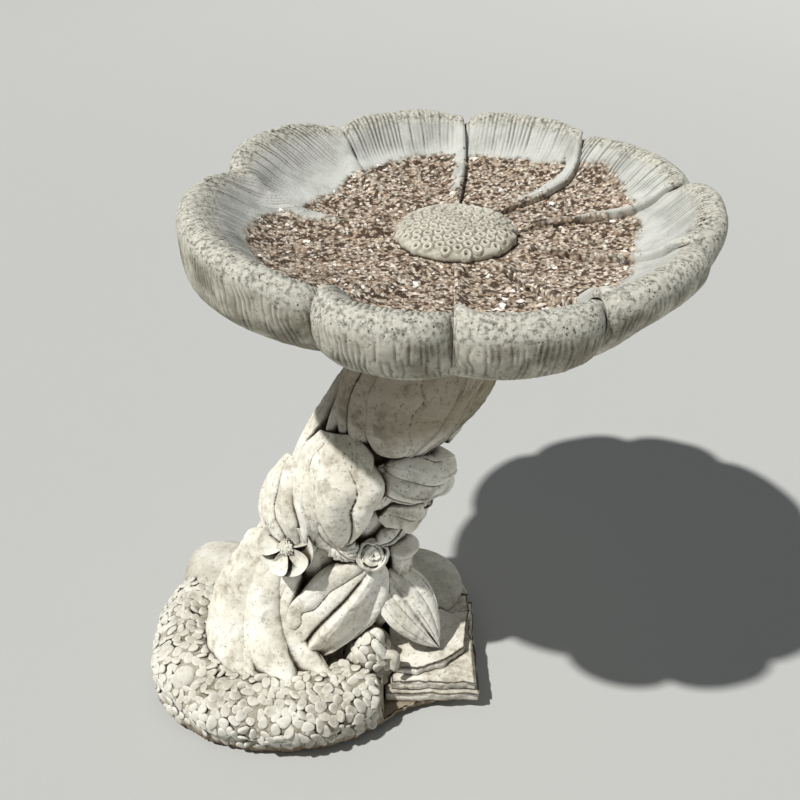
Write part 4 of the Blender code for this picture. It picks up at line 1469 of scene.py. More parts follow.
def sweep(
    points: Sequence[Sequence[float]], radii: Sequence[float], facing: Sequence[float],
    rows: int = 160, columns: int = 96, squash: float = 0.7, ease: int = 8,
) -> tuple[Shell, Grid, Grid]:
    """A rounded ridge along a path.

    Args:
        points: the path's given points.
        radii: the ridge's half width at each of them.
        facing: the way the ridge looks.
        rows: how many sections to make.
        columns: how many points in each.
        squash: the half height as a share of the half width.
        ease: how many times the path is smoothed.

    Returns:
        The surface, how far along each row lies and the angle of each column, in radians.
    """
    given = np.array([tuple(p) for p in points], float)
    line = curve_through(np.concatenate([given, np.array(radii)[:, None]], 1), rows, ease)
    path, radius = line[:, :3], line[:, 3]
    along = unit(np.gradient(path, axis=0))
    side = unit(np.cross(along, np.array(tuple(facing), float)))
    out = np.cross(side, along)
    angle = all_round(columns)[None, :, None]
    share = np.linspace(0, 1, rows)[:, None]
    ends = np.sin(math.pi * np.clip(0.5 - np.abs(share - 0.5), 0, 0.06) / 0.12) ** 0.5
    ring = (radius[:, None] * np.maximum(ends, 0.08))[..., None]
    round_it = side[:, None] * np.cos(angle) + squash * out[:, None] * np.sin(angle)
    return Shell(path[:, None] + ring * round_it, ring=True), share, angle[..., 0]


@dataclass
class Stem:
    """The leaning trunk under the leaves, its top flat under the bowl and bored for the pin."""

    form: StemForm
    axis: Vector
    finish: Material
    rows: int = 280
    columns: int = 340
    bore: float = 0.0085
    bore_depth: float = 0.0235
    fold_depth: float = 0.0016
    noise: Noise = field(default_factory=lambda: Noise(61))

    def build(self) -> Piece:
        """Makes the trunk with its drapery folds."""
        turn, levels = all_round(self.columns), np.linspace(0.999, self.form.low, self.rows)
        share, angle = np.meshgrid(levels, turn, indexing="ij")
        shell = Shell(self.form.at(share, angle), ring=True)
        drift = self.noise.layered(shell.points, 0.06, 2)
        folds = np.abs(np.sin(4.5 * angle + 5.0 * share + 1.6 * drift)) ** 0.7
        height = -self.fold_depth * folds * (0.5 + ramp(share, 0.50, 0.30))
        height += self.noise.rough(shell.points, (0.0014, 0.022, 3), (0.0004, 0.005, 2))
        shell.push(height * ramp(share, 1.0, 0.985))
        hole = self.bore * np.stack([np.cos(turn), np.sin(turn)], -1) + np.array(self.axis.xy)
        rim = shell.points[0, :, :2]
        flat = [hole + (rim - hole) * mix for mix in (0.0, 0.1, 0.5, 0.9)]
        level = np.full((self.columns, 1), self.form.top)
        rings = [np.concatenate([ring, level], 1) for ring in flat]
        low_ring = rings[0] - np.array([0, 0, self.bore_depth])
        shell.points = np.concatenate([low_ring[None], np.stack(rings), shell.points])
        return carved("stem", [shell], self.finish)


@dataclass
class Flowers:
    """The open flower, the roses, the disc leaf and the cut branch."""

    form: StemForm
    finish: Material
    noise: Noise = field(default_factory=lambda: Noise(83))

    def basis(self, node: str, degrees: float, tilt: float) -> tuple[Grid, Grid, Grid, Grid]:
        """The middle of a packed flower, and its side, rise and facing directions."""
        low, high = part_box(node)
        way = math.radians(degrees)
        facing = unit(np.array([math.cos(way), math.sin(way), tilt]))
        side = unit(np.cross([0, 0, 1], facing))
        return np.array((low + high) / 2), side, np.cross(facing, side), facing

    def open_flower(
        self, radius: float = 0.0270, petals: int = 5, turn: float = 1.45, fine: int = 44
    ) -> None:
        """Five dished petals that lap one over the next, round a beaded heart."""
        middle, side, rise, facing = self.basis("open_flower", 245, 0.45)
        middle = middle + side * 0.009 + rise * 0.005
        centre = middle + facing * 0.0080
        shells = []
        b, a = np.meshgrid(np.linspace(0, 1, fine), np.linspace(-1, 1, fine), indexing="ij")
        for k in range(petals):
            way = turn + TURN * k / petals
            out = side * math.cos(way) + rise * math.sin(way)
            across = -side * math.sin(way) + rise * math.cos(way)
            far = radius * (0.12 + 0.88 * b * (1 - 0.10 * a**2))
            half = radius * 0.74 * np.sin(math.pi * (0.10 + 0.74 * b)) ** 0.8
            dish = -0.0034 * np.sin(math.pi * b**0.8) * (1 - a**2)
            dish = dish + 0.0016 * np.abs(a) ** 2.5 + 0.0012 * b**3
            lap = 0.0030 * a * np.sin(math.pi * np.clip(b, 0.05, 0.80))
            crease = -0.0010 * hump(a, 0, 0.16) * (1 - b)
            lift = (0.0020 + dish + lap + crease)[..., None] * facing
            top = centre + far[..., None] * out + (a * half)[..., None] * across + lift
            top = top + facing * self.noise.rough(top, (0.0004, 0.006, 2))[..., None]
            depths, inward = (0.0009, 0.0026, 0.0045, 0.0150), (0.0, 0.08, 0.40, 0.65)
            shells.append(with_skirt(top, facing, depths, inward))
        carved("open_flower", shells, self.finish, capped=False)
        self.heart(middle + facing * 0.0090, side, rise, facing)

    def heart(
        self, centre: Grid, side: Grid, rise: Grid, facing: Grid,
        radius: float = 0.0076, swell: float = 0.0066,
    ) -> None:
        """The beaded boss in the middle of the open flower."""

        def lift(share: Grid, _: Grid) -> Grid:
            """A dome."""
            return swell * np.sqrt(1 - 0.98 * share**2) - 0.001

        shell = self.disc(centre, side, rise, facing, radius, lift)
        near, second, _ = self.noise.cells(shell.points, 0.0026)
        shell.push(0.0009 * ramp(second - near, 0, 0.5))
        carved("open_flower_heart", [shell], self.finish, capped=False)

    def disc(
        self, centre: Grid, side: Grid, rise: Grid, facing: Grid, radius: float,
        lift: Callable[[Grid, Grid], Grid], deep: float = 0.016,
    ) -> Shell:
        """A round face, whose height over its middle is lift(share of radius, angle).

        Args:
            centre: its middle.
            side: one direction across it.
            rise: the other direction across it.
            facing: the way it looks.
            radius: its radius in metres.
            lift: the function that gives its height in metres.
            deep: how far its root reaches back, in metres.

        Returns:
            The face, with a skirt below its edge.
        """
        share, angle = np.meshgrid(np.linspace(0.01, 1, 60), all_round(120), indexing="ij")
        flat = side * np.cos(angle)[..., None] + rise * np.sin(angle)[..., None]
        height = lift(share, angle)[..., None]
        top = centre + radius * share[..., None] * flat + height * facing
        steps = [
            top[-1:] + facing * -depth + (centre - top[-1:]) * pull
            for depth, pull in ((0.0008, -0.03), (0.0022, 0.0), (0.0080, 0.20), (deep, 0.45))
        ]
        return Shell(np.concatenate([top, *steps]), ring=True)

    def rose(
        self, node: str, bud: str | None, degrees: float, tilt: float, radius: float,
        shift: tuple[float, float] = (0.0, 0.0),
    ) -> None:
        """A rose: crinkled petals wound in a spiral inside a lobed rim.

        Args:
            node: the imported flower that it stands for.
            bud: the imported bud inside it, if it has one.
            degrees: the way it faces, round the vertical.
            tilt: how far it looks up.
            radius: its radius in metres.
            shift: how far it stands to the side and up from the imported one.
        """
        centre, side, rise, facing = self.basis(node, degrees, tilt)
        centre = centre + facing * 0.0035 + side * shift[0] + rise * shift[1]

        def lift(share: Grid, angle: Grid) -> Grid:
            """Spiral walls of petals that step down from the heart to the rim."""
            wobble = 0.12 * np.sin(3 * angle) + 0.05 * np.sin(7 * angle)
            fold = (2.2 * share - angle / TURN + wobble) % 1
            wall = fold**1.5 * (1 - ramp(fold, 0.86, 1.0))
            edge = 0.84 + 0.05 * np.sin(3 * angle + 0.7) + 0.03 * np.sin(7 * angle)
            rim = 0.0030 * hump(share, edge, 0.11) * (1 + 0.45 * np.sin(5 * angle + 0.7))
            inner = 1 - ramp(share, 0.62, 0.74)
            return 0.0020 + 0.0026 * (1 - share**2) * inner + 0.0018 * wall * inner + rim

        shell = self.disc(centre, side, rise, facing, radius, lift)
        shell.push(self.noise.rough(shell.points, (0.0009, 0.0045, 3)))
        carved(node, [shell], self.finish, capped=False, also=(bud,) if bud else ())

    def disc_leaf(self) -> None:
        """The round leaf that stands out to the right, with a pinhole in its middle."""
        centre, side, rise, facing = self.basis("round_leaf", 300, 0.2)
        centre = centre + facing * 0.006

        def lift(share: Grid, angle: Grid) -> Grid:
            """A shallow dish with a rolled rim."""
            pinhole = 0.0016 * hump(share, 0, 0.12)
            return 0.0012 * hump(share, 0.78, 0.16) - pinhole + 0.0004 * np.cos(3 * angle)

        shell = self.disc(centre, side, rise, facing, 0.0128, lift, 0.034)
        shell.push(self.noise.rough(shell.points, (0.0005, 0.007, 3)))
        carved("round_leaf", [shell], self.finish, capped=False)

    def cut_branch(self) -> None:
        """The stub of a branch, with a thick lip round its cut end."""
        path = [self.form.spot(share, 328, 0.003)[0] for share in (0.392, 0.345, 0.25, 0.17)]
        radii, facing = (0.0165, 0.0135, 0.014, 0.017), (0.85, -0.53, 0)
        shell, share, angle = sweep(path, radii, facing, squash=0.8)
        lip = 0.0022 * hump(share, 0.05, 0.035)
        flutes = -0.0010 * np.abs(np.sin(4 * angle + 2 * share)) * ramp(share, 0.08, 0.2)
        shell.push(lip + flutes + self.noise.rough(shell.points, (0.0008, 0.010, 3)))
        carved("trunk_stub", [shell], self.finish)

    def neck_roll(self) -> None:
        """The smooth roll down the far left of the neck."""
        path = [self.form.spot(share, 203, 0.002)[0] for share in (0.88, 0.81, 0.74, 0.685)]
        shell, _, _ = sweep(path, (0.008, 0.0115, 0.011, 0.007), (-0.92, -0.39, 0))
        shell.push(self.noise.rough(shell.points, (0.0007, 0.012, 3)))
        carved("neck_roll", [shell], self.finish)

    def build(self) -> None:
        """Makes them all."""
        self.open_flower()
        self.rose("front_rose", "front_rose_bud", 285, 0.45, 0.0150, (-0.005, 0.003))
        self.rose("shaded_rose", None, 300, 0.2, 0.0120)
        self.disc_leaf()
        self.cut_branch()
        self.neck_roll()


# Base


@dataclass
class Ground:
    """Where the base lies: its half sizes, the height of its top and its packed box."""

    top: float = 0.034
    half_x: float = 0.161
    half_y: float = 0.126

    def __post_init__(self) -> None:
        """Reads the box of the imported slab."""
        self.low, self.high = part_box("base_slab")

    def at(self, x_share: float, y_share: float, above: float = 0.0) -> tuple[float, float, float]:
        """A point over the slab, from shares of its half sizes."""
        return (x_share * self.half_x, y_share * self.half_y, self.top + above)


def outline_of(node: str, height: float, count: int) -> tuple[Grid, Grid]:
    """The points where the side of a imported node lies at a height, all round.

    Args:
        node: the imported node.
        height: the height, in metres.
        count: how many points.

    Returns:
        The node's middle and the points, seen from above.
    """
    low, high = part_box(node)
    middle = (low + high) / 2
    cast = Castable([frame["nodes"][node]])
    found = []
    for angle in all_round(count):
        way = Vector((math.cos(angle), math.sin(angle), 0))
        start = Vector((middle.x, middle.y, height)) + way * 0.5
        met = cast.hit(start, -way)
        found.append((met.x, met.y) if met else found[-1])
    return np.array([middle.x, middle.y]), np.array(found)


@dataclass
class Slab:
    """The foot of the pedestal: a lumpy slab with a step cut for the slates."""

    ground: Ground
    finish: Material
    columns: int = 760
    rows: int = 130
    stone_size: float = 0.0095
    stone_depth: float = 0.0022
    slate_gap: float = 0.0006
    noise: Noise = field(default_factory=lambda: Noise(101))
    # Share of the way out from the middle, and height
    section: tuple[tuple[float, float], ...] = (
        (0.02, 0.0), (0.5, 0.0), (0.97, 0.0), (0.995, 0.002), (1.0, 0.012), (0.99, 0.024),
        (0.96, 0.031), (0.90, 0.0345), (0.6, 0.037), (0.3, 0.038), (0.02, 0.038),
    )

    def build(self) -> Piece:
        """Makes the slab."""
        middle, outline = outline_of("base_slab", 0.006, self.columns)
        outline = blur(outline, 10, 0, ring=True)
        line = curve_through(self.section, self.rows, 2)
        flat = middle + (outline - middle)[None] * line[:, :1, None]
        height = np.broadcast_to(line[:, 1:, None], (*flat.shape[:2], 1))
        points = np.concatenate([flat, height], -1)
        shell = Shell(points, ring=True)
        near, second, _ = self.noise.cells(points, self.stone_size)
        raised = ramp(points[..., 2], 0.0, 0.006)
        stones = self.stone_depth * (ramp(second - near, 0.0, 0.4) - 0.5) * raised
        shell.push(stones + (self.noise.rough(points, (0.0014, 0.03, 3)) + 0.0003) * raised)
        low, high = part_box("slate_lower")
        x, y, z = np.moveaxis(shell.points, -1, 0)
        inside = (x > low.x - 0.001) & (y < high.y + 0.001) & (y > low.y - 0.03)
        z[inside] = np.minimum(z[inside], low.z - self.slate_gap)
        shell.points[..., 2] = np.maximum(z, 0.0)
        return carved("base_slab", [shell], self.finish, "base_stone")


@dataclass
class Slates:
    """The stack of thin, split stones at the right front corner."""

    finish: Material
    columns: int = 520
    face_rows: int = 60
    wall_rows: int = 16
    under_rows: int = 12
    most_swell: float = 0.0008
    noise: Noise = field(default_factory=lambda: Noise(113))

    def plate(self, node: str, wear: float, strata: int) -> None:
        """One slate: ragged layers round its side and a worn, uneven top.

        Args:
            node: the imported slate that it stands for.
            wear: how ragged its edge is, in metres.
            strata: how many layers show in its side.
        """
        low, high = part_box(node)
        middle, outline = outline_of(node, (low.z + high.z) / 2, self.columns)
        face, wall, under = self.face_rows, self.wall_rows, self.under_rows
        spans = [np.linspace(1, 0.01, under)[::-1], np.ones(wall), np.linspace(0.01, 1, face)[::-1]]
        share = np.concatenate(spans)[:, None]
        levels = [np.zeros(under), np.linspace(1, 0, wall)[::-1], np.ones(face)]
        level = np.concatenate(levels)[:, None]
        flat = middle + (outline - middle)[None] * share[..., None]
        z = low.z + (high.z - low.z) * level + 0 * flat[..., 0]
        edge = np.clip((share - 0.9) / 0.1, 0, 1)
        layer = np.floor((z - low.z) / (high.z - low.z) * strata * 0.999)
        place = np.stack([flat[..., 0], flat[..., 1], layer * 0.05], -1)
        pull = -wear * (0.6 + 0.9 * self.noise.layered(place, 0.011, 3)) * edge
        way = unit(np.concatenate([flat - middle, 0 * z[..., None]], -1))
        points = np.concatenate([flat, z[..., None]], -1) + way * pull[..., None]
        top = level > 0.99
        swell = self.noise.rough(points, (0.0016, 0.022, 4)) - 0.0026 * edge**2 - 0.0006
        points[..., 2] += top * np.minimum(swell, self.most_swell)
        points[..., 2] += (1 - top) * self.noise.rough(points, (0.0009, 0.012, 3)) * edge
        piece = weld(make_piece(node + "_split", [Shell(points, ring=True)], (True, True)))
        install(piece, Body.PEDESTAL, "slate_stone", self.finish, node)

    def build(self) -> None:
        """Makes the three slates."""
        for node, wear, strata in (
            ("slate_lower", 0.0028, 3), ("slate_middle", 0.0034, 3), ("slate_top", 0.0036, 2)
        ):
            self.plate(node, wear, strata)


@dataclass
class Stones:
    """Boulders, the cobbled bank and mound, and the cobbles themselves."""

    ground: Ground
    finish: Material
    joints: Material
    seed: int = 71
    spacing: float = 0.0068
    noise: Noise = field(default_factory=lambda: Noise(127))
    tries: int = 24000
    sunk: float = 0.004
    skirt: float = 0.006
    cover_gap: float = 0.0015
    bedded: float = 0.0006
    size_range: tuple[float, float] = (0.70, 0.90)
    # The height under which no cobble sits, and the height that counts as up on the base
    foot: float = 0.012
    raised: float = 0.030
    NEAR = tuple(itertools.product((-1, 0, 1), repeat=3))
    # One cobble's section: share of its half width, and share of its height
    SECTION = (
        (0.05, 1.0), (0.35, 0.97), (0.62, 0.88), (0.82, 0.70), (0.95, 0.42), (1.0, 0.0),
        (0.97, -0.7),
    )

    def dome(
        self, node: str, lumps: float, peak: float, joint: bool = False, lift: float = 0.0
    ) -> Piece:
        """A lumpy stone in the place of a packed one.

        Args:
            node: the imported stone.
            lumps: how uneven it is, in metres.
            peak: how blunt it is; 2 is round and more is flatter.
            joint: whether it is the dark bed between cobbles.
            lift: how far its top stands above its packed box.

        Returns:
            The piece.
        """
        low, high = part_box(node)
        centre, half = (low + high) / 2, (high - low) / 2
        base = max(low.z, self.ground.top) - self.sunk
        share = np.linspace(1, 0.01, 90)[::-1, None]
        angle = all_round(180)[None]
        height = (high.z + lift - base) * (1 - share**peak) ** (1 / peak)
        x = centre.x + half.x * share * np.cos(angle)
        y = centre.y + half.y * share * np.sin(angle)
        shell = Shell(np.stack([x, y, base + height + 0 * x], -1), ring=True)
        rough = self.noise.rough(shell.points, (lumps, 0.026, 3)) + 0.0003
        shell.push(rough * ramp(share, 1.0, 0.85))
        skirt = shell.points[-1:] - np.array([0, 0, self.skirt])
        shell.points = np.concatenate([shell.points, skirt])
        return carved(node, [shell], self.joints if joint else self.finish, "cobble_stone")

    def bank(self) -> Piece:
        """The low bank that curves round the left and front of the base."""
        plan = (
            (-0.70, 0.55), (-0.80, 0.05), (-0.74, -0.42), (-0.48, -0.72), (-0.14, -0.80),
            (0.16, -0.72), (0.34, -0.50),
        )
        widths = (0.022, 0.030, 0.034, 0.036, 0.036, 0.032, 0.028)
        path = [self.ground.at(*place) for place in plan]
        shell, _, _ = sweep(path, widths, (0, 0, 1), rows=260, columns=110, squash=0.56)
        near, second, _ = self.noise.cells(shell.points, 0.009)
        stones = 0.0010 * ramp(second - near, 0, 0.4)
        shell.push(stones + self.noise.rough(shell.points, (0.0010, 0.03, 2)))
        return carved("cobble_bank", [shell], self.joints, "cobble_stone")

    def cobble(self, place: Vector, way: Vector, size: float, rng: Random) -> Shell:
        """One flat, rounded cobble that lies on a slope.

        Args:
            place: its middle.
            way: the way that the slope faces.
            size: its half width in metres.
            rng: the source of its tilt and irregular shape.

        Returns:
            Its surface.
        """
        facing = unit(np.array(way) + rng.normal(0, 0.17, 3))
        side = unit(np.cross(facing, rng.normal(size=3)))
        across = np.cross(facing, side)
        share, drop = np.array(self.SECTION).T[..., None]
        angle = all_round(16)[None]
        wobble = 1 + 0.10 * np.sin(2 * angle + rng.uniform(0, 6))
        wobble = wobble + 0.09 * np.sin(3 * angle + rng.uniform(0, 6))
        long, wide = size * rng.uniform(1.0, 1.22), size * rng.uniform(0.82, 1.0)
        x = (share * wobble * long * np.cos(angle))[..., None]
        y = (share * wobble * wide * np.sin(angle))[..., None]
        z = (drop * size * rng.uniform(0.30, 0.46) + 0 * angle)[..., None]
        shell = Shell(np.array(place) + x * side + y * across + z * facing, ring=True)
        shell.masks["shade"] = np.full(shell.points.shape[:2], rng.random())
        return shell

    def candidate(self, attempt: int, bed: Castable, rng: Random) -> tuple[Vector, Vector] | None:
        """A place to try and its slope: two in three from above, the others from the side."""
        low, high = self.ground.low, self.ground.high
        if attempt % 3:
            x = rng.uniform(low.x, 0.085)
            y = rng.uniform(low.y, high.y * 0.9)
            return bed.below(x, y, 0.3)
        angle = math.radians(rng.uniform(60, 300))
        way = Vector((math.cos(angle), math.sin(angle), 0))
        start = Vector((0.0, 0.0, rng.uniform(0.013, 0.036))) + way * 0.4
        return bed.meet(start, -way, 0.6)

    def bare(self, point: Vector) -> bool:
        """Whether a place has no cobbles: the foot, the slates, the disc stone, the back."""
        (low, high), slate_x = self.disc, self.slate_x
        disc, half = (low + high) / 2, (high - low) / 2
        out = math.hypot((point.x - disc.x) / half.x, (point.y - disc.y) / half.y)
        return (
            point.z < self.foot
            or (point.x > slate_x and point.z < 0.045)
            or (out < 0.95 and point.z > self.raised)
            or (point.y > 0.055 and point.x > -0.06 and point.z > self.raised)
        )

    def lay(self, beds: Sequence[Piece], cover: Sequence[Piece]) -> None:
        """Lays cobbles over the bank, the mound and the slab's left and front sides.

        Args:
            beds: what the cobbles lie on.
            cover: what keeps cobbles out from under it.
        """
        rng = np.random.default_rng(self.seed)
        bed, lid = Castable(beds), Castable(cover)
        self.disc, self.slate_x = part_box("smooth_cobble"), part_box("slate_lower")[0].x - 0.006
        placed: dict[tuple[int, ...], list[Vector]] = {}
        names = ("cobbles_left", "cobbles_front", "cobbles_mound")
        shells: dict[str, list[Shell]] = {name: [] for name in names}
        for attempt in range(self.tries):
            found = self.candidate(attempt, bed, rng)
            if found is None or self.bare(found[0]):
                continue
            point, normal = found
            cell = tuple(math.floor(part / self.spacing) for part in point)
            around = [placed.get(tuple(map(sum, zip(cell, step))), ()) for step in self.NEAR]
            if any((point - other).length < self.spacing for group in around for other in group):
                continue
            above = lid.below(point.x, point.y, 0.5)
            if above and above[0].z > point.z + self.cover_gap:
                continue
            placed.setdefault(cell, []).append(point)
            size = self.spacing * rng.uniform(*self.size_range)
            if point.x > 0.02 and point.z > 0.036:
                group = "cobbles_mound"
            else:
                group = "cobbles_left" if point.x < -0.05 else "cobbles_front"
            shells[group].append(self.cobble(point - normal * self.bedded, normal, size, rng))
        for name, group in shells.items():
            piece = make_piece(name, group, (True, True))
            install(piece, Body.PEDESTAL, "cobble_stone", self.finish)

    def sprig(self) -> None:
        """The curled sprig that clasps the mound."""
        shells = []
        curls = ((0.33, -0.38, 0.040), (0.375, -0.44, 0.035), (0.42, -0.50, 0.027))
        for turn, (x, y, above) in enumerate(curls):
            path = [
                self.ground.at(x, y, above),
                self.ground.at(x + 0.039 * (-1) ** turn + 0.02, y - 0.03, above + 0.003),
                self.ground.at(x + 0.05, y - 0.07, above - 0.011),
            ]
            radii, facing = (0.0040, 0.0052, 0.0042), (0.4, -0.6, 0.7)
            shell, share, angle = sweep(path, radii, facing, rows=50, columns=36, squash=0.8)
            groove = 0.0005 * np.abs(np.sin(2 * angle + share))
            shell.push(self.noise.rough(shell.points, (0.0004, 0.004, 2)) - groove)
            shells.append(shell)
        carved("curled_sprig", shells, self.finish)


@dataclass
class Roots:
    """Three folds of root-like drapery that run from the stem down over the base."""

    form: StemForm
    ground: Ground
    finish: Material
    noise: Noise = field(default_factory=lambda: Noise(139))

    def run(
        self, name: str, on_stem: Sequence[tuple[float, float]],
        on_base: Sequence[tuple[float, float]], radii: Sequence[float], flutes: float,
    ) -> Piece:
        """One fold.

        Args:
            name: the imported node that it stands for.
            on_stem: its places on the stem, as height share and degrees.
            on_base: its places over the slab, as shares of its half sizes.
            radii: its half width at each place.
            flutes: how many grooves run along it.

        Returns:
            The piece.
        """
        points = [self.form.spot(share, degrees, 0.001)[0] for share, degrees in on_stem]
        for step, (x, y) in enumerate(on_base):
            points.append(np.array(self.ground.at(x, y, 0.010 - 0.004 * step)))
        facing = (-0.5, -0.6, 0.6)
        shell, share, angle = sweep(points, radii, facing, rows=230, columns=130, ease=700)
        wander = self.noise.rough(shell.points, (0.7, 0.05, 2))
        groove = np.abs(np.sin(flutes * angle / 2 + 1.6 * share + 1.5 * wander)) ** 0.6
        height = -0.0022 * (1 - groove) * ramp(np.sin(math.pi * share), 0.1, 0.6)
        height = height + self.noise.rough(shell.points, (0.0022, 0.018, 3), (0.0003, 0.004, 2))
        shell.push(height)
        return carved(name, [shell], self.finish)

    def build(self) -> list[Piece]:
        """Makes the three folds."""
        return [
            self.run(
                "root_fold_outer", ((0.40, 203), (0.26, 211)),
                ((-0.58, -0.22), (-0.50, -0.50), (-0.34, -0.74)),
                (0.016, 0.030, 0.034, 0.029, 0.013), 4,
            ),
            self.run(
                "root_fold_middle", ((0.40, 222), (0.24, 226)),
                ((-0.36, -0.36), (-0.24, -0.60), (-0.08, -0.80)),
                (0.012, 0.028, 0.034, 0.029, 0.012), 3,
            ),
            self.run(
                "root_fold_inner", ((0.36, 244), (0.20, 245)),
                ((-0.15, -0.38), (-0.02, -0.54), (0.13, -0.70)),
                (0.011, 0.022, 0.026, 0.022, 0.009), 3,
            ),
        ]


LEAVES = (
    Leaf("neck_lobe", (0.990, 226, 0.000), (0.700, 243, 0.003), 0.066, 0.008, blunt=0.35,
         flutes=1.8, flute_depth=0.0026, flute_turn=0.8, pinholes=((0.30, -0.2), (0.62, 0.3)),
         midrib=0.0, edge=Edge.SOFT),
    Leaf("neck_back_leaf", (0.930, 20, 0.000), (0.660, 352, 0.002), 0.062, 0.008, veins=7,
         flutes=2.0, flute_depth=0.0010),
    Leaf("neck_right_fold", (0.970, 336, 0.004), (0.735, 316, 0.004), 0.062, 0.010, blunt=0.35,
         flutes=4.2, flute_depth=0.0034, flute_turn=0.5, midrib=0.0, steps=2),
    Leaf("neck_drape", (0.990, 290, 0.002), (0.700, 278, 0.004), 0.078, 0.010, blunt=0.30,
         steps=3, flutes=1.3, flute_depth=0.0016, midrib=0.0, edge=Edge.FREE),
    Leaf("back_left_leaf", (0.820, 140, 0.000), (0.500, 150, 0.002), 0.064, 0.008, veins=8,
         flutes=2.0, flute_depth=0.0010),
    Leaf("back_leaf", (0.620, 95, 0.000), (0.340, 100, 0.002), 0.070, 0.008, veins=8, flutes=2.0,
         flute_depth=0.0012),
    Leaf("outer_left_leaf", (0.600, 192, 0.015), (0.400, 250, 0.003), 0.060, 0.012, fullest=0.62,
         blunt=0.50, flutes=3.6, flute_depth=0.0030, flute_turn=0.5, scallops=2,
         scallop_depth=0.14, midrib=0.0),
    Leaf("upper_left_leaf", (0.705, 212, 0.006), (0.435, 270, 0.003), 0.078, 0.014, fullest=0.66,
         blunt=0.56, flutes=2.3, flute_depth=0.0022, flute_turn=0.9, scallops=3,
         scallop_depth=0.10, roll=0.0018, midrib=0.0022, pinholes=((0.62, -0.25),)),
    Leaf("veined_leaf", (0.665, 290, 0.001), (0.545, 259, 0.002), 0.046, 0.005, veins=6,
         midrib=0.0018),
    Leaf("knuckle_leaf", (0.665, 268, 0.001), (0.615, 345, 0.010), 0.044, 0.018, blunt=0.45,
         flutes=2.2, flute_depth=0.0030, flute_turn=0.5, scallops=2, scallop_depth=0.12,
         midrib=0.0),
    Leaf("petal_tip", (0.530, 327, 0.002), (0.450, 322, 0.008), 0.030, 0.005, roll=0.0015),
    Leaf("crescent_petal", (0.545, 288, 0.003), (0.500, 322, 0.008), 0.026, 0.009, roll=0.0020,
         bend=0.004, edge=Edge.FREE),
    Leaf("lower_left_leaf", (0.385, 296, 0.006), (0.105, 262, 0.012), 0.076, 0.010, fullest=0.74,
         blunt=0.66, flutes=1.2, flute_depth=0.0022, flute_turn=1.0, roll=0.0060, midrib=0.0044,
         rows=180, columns=110),
    Leaf("bud_leaf", (0.480, 314, 0.004), (0.440, 296, 0.004), 0.018, 0.005, midrib=0.0022),
    Leaf("rose_side_leaf", (0.452, 262, 0.003), (0.405, 286, 0.005), 0.022, 0.004, veins=5,
         scallops=5, scallop_depth=0.16),
)


@dataclass
class LowLeaf:
    """The boat-shaped leaf that leans from the stem out to the slates."""

    form: StemForm
    ground: Ground
    finish: Material
    width: float = 0.054
    noise: Noise = field(default_factory=lambda: Noise(151))

    def build(self) -> Piece:
        """Makes the leaf, with long flutes and a rolled right edge."""
        root, _ = self.form.spot(0.33, 312, 0.006)
        tip = np.array([0.119, -0.044, self.ground.top + 0.0145])
        facing = unit(np.array([0.25, -0.75, 0.62]))
        s, v = np.meshgrid(np.linspace(0, 1, 150), np.linspace(-1, 1, 100), indexing="ij")
        along = unit(tip - root)
        side = unit(np.cross(along, facing))
        out = np.cross(side, along)
        half = self.width / 2 * np.sin(math.pi * (0.04 + 0.945 * s) ** 0.72) ** 0.80
        arch = np.sin(math.pi * s)
        lift = 0.006 * arch - 0.005 * v**2 + 0.006 * hump(v, 0.80, 0.24) * arch
        lift = lift - 0.0030 * hump(v, 0.06, 0.09) * ramp(s, 0.02, 0.25)
        flutes = np.abs(np.sin(math.pi * (2.4 * v + 0.5 * s))) ** 0.7
        lift = lift - 0.0018 * (1 - flutes) * arch**0.5
        top = root + (tip - root) * s[..., None] + side * (v * half)[..., None]
        top = top + out * lift[..., None]
        rough = self.noise.rough(top, (0.0008, 0.014, 3), (0.0003, 0.003, 2))
        top = top + out * rough[..., None]
        shell = with_skirt(top, out, (0.0008, 0.0022, 0.006, 0.016), (-0.01, 0.0, 0.12, 0.45))
        return carved("lower_right_leaf", [shell], self.finish, capped=False)


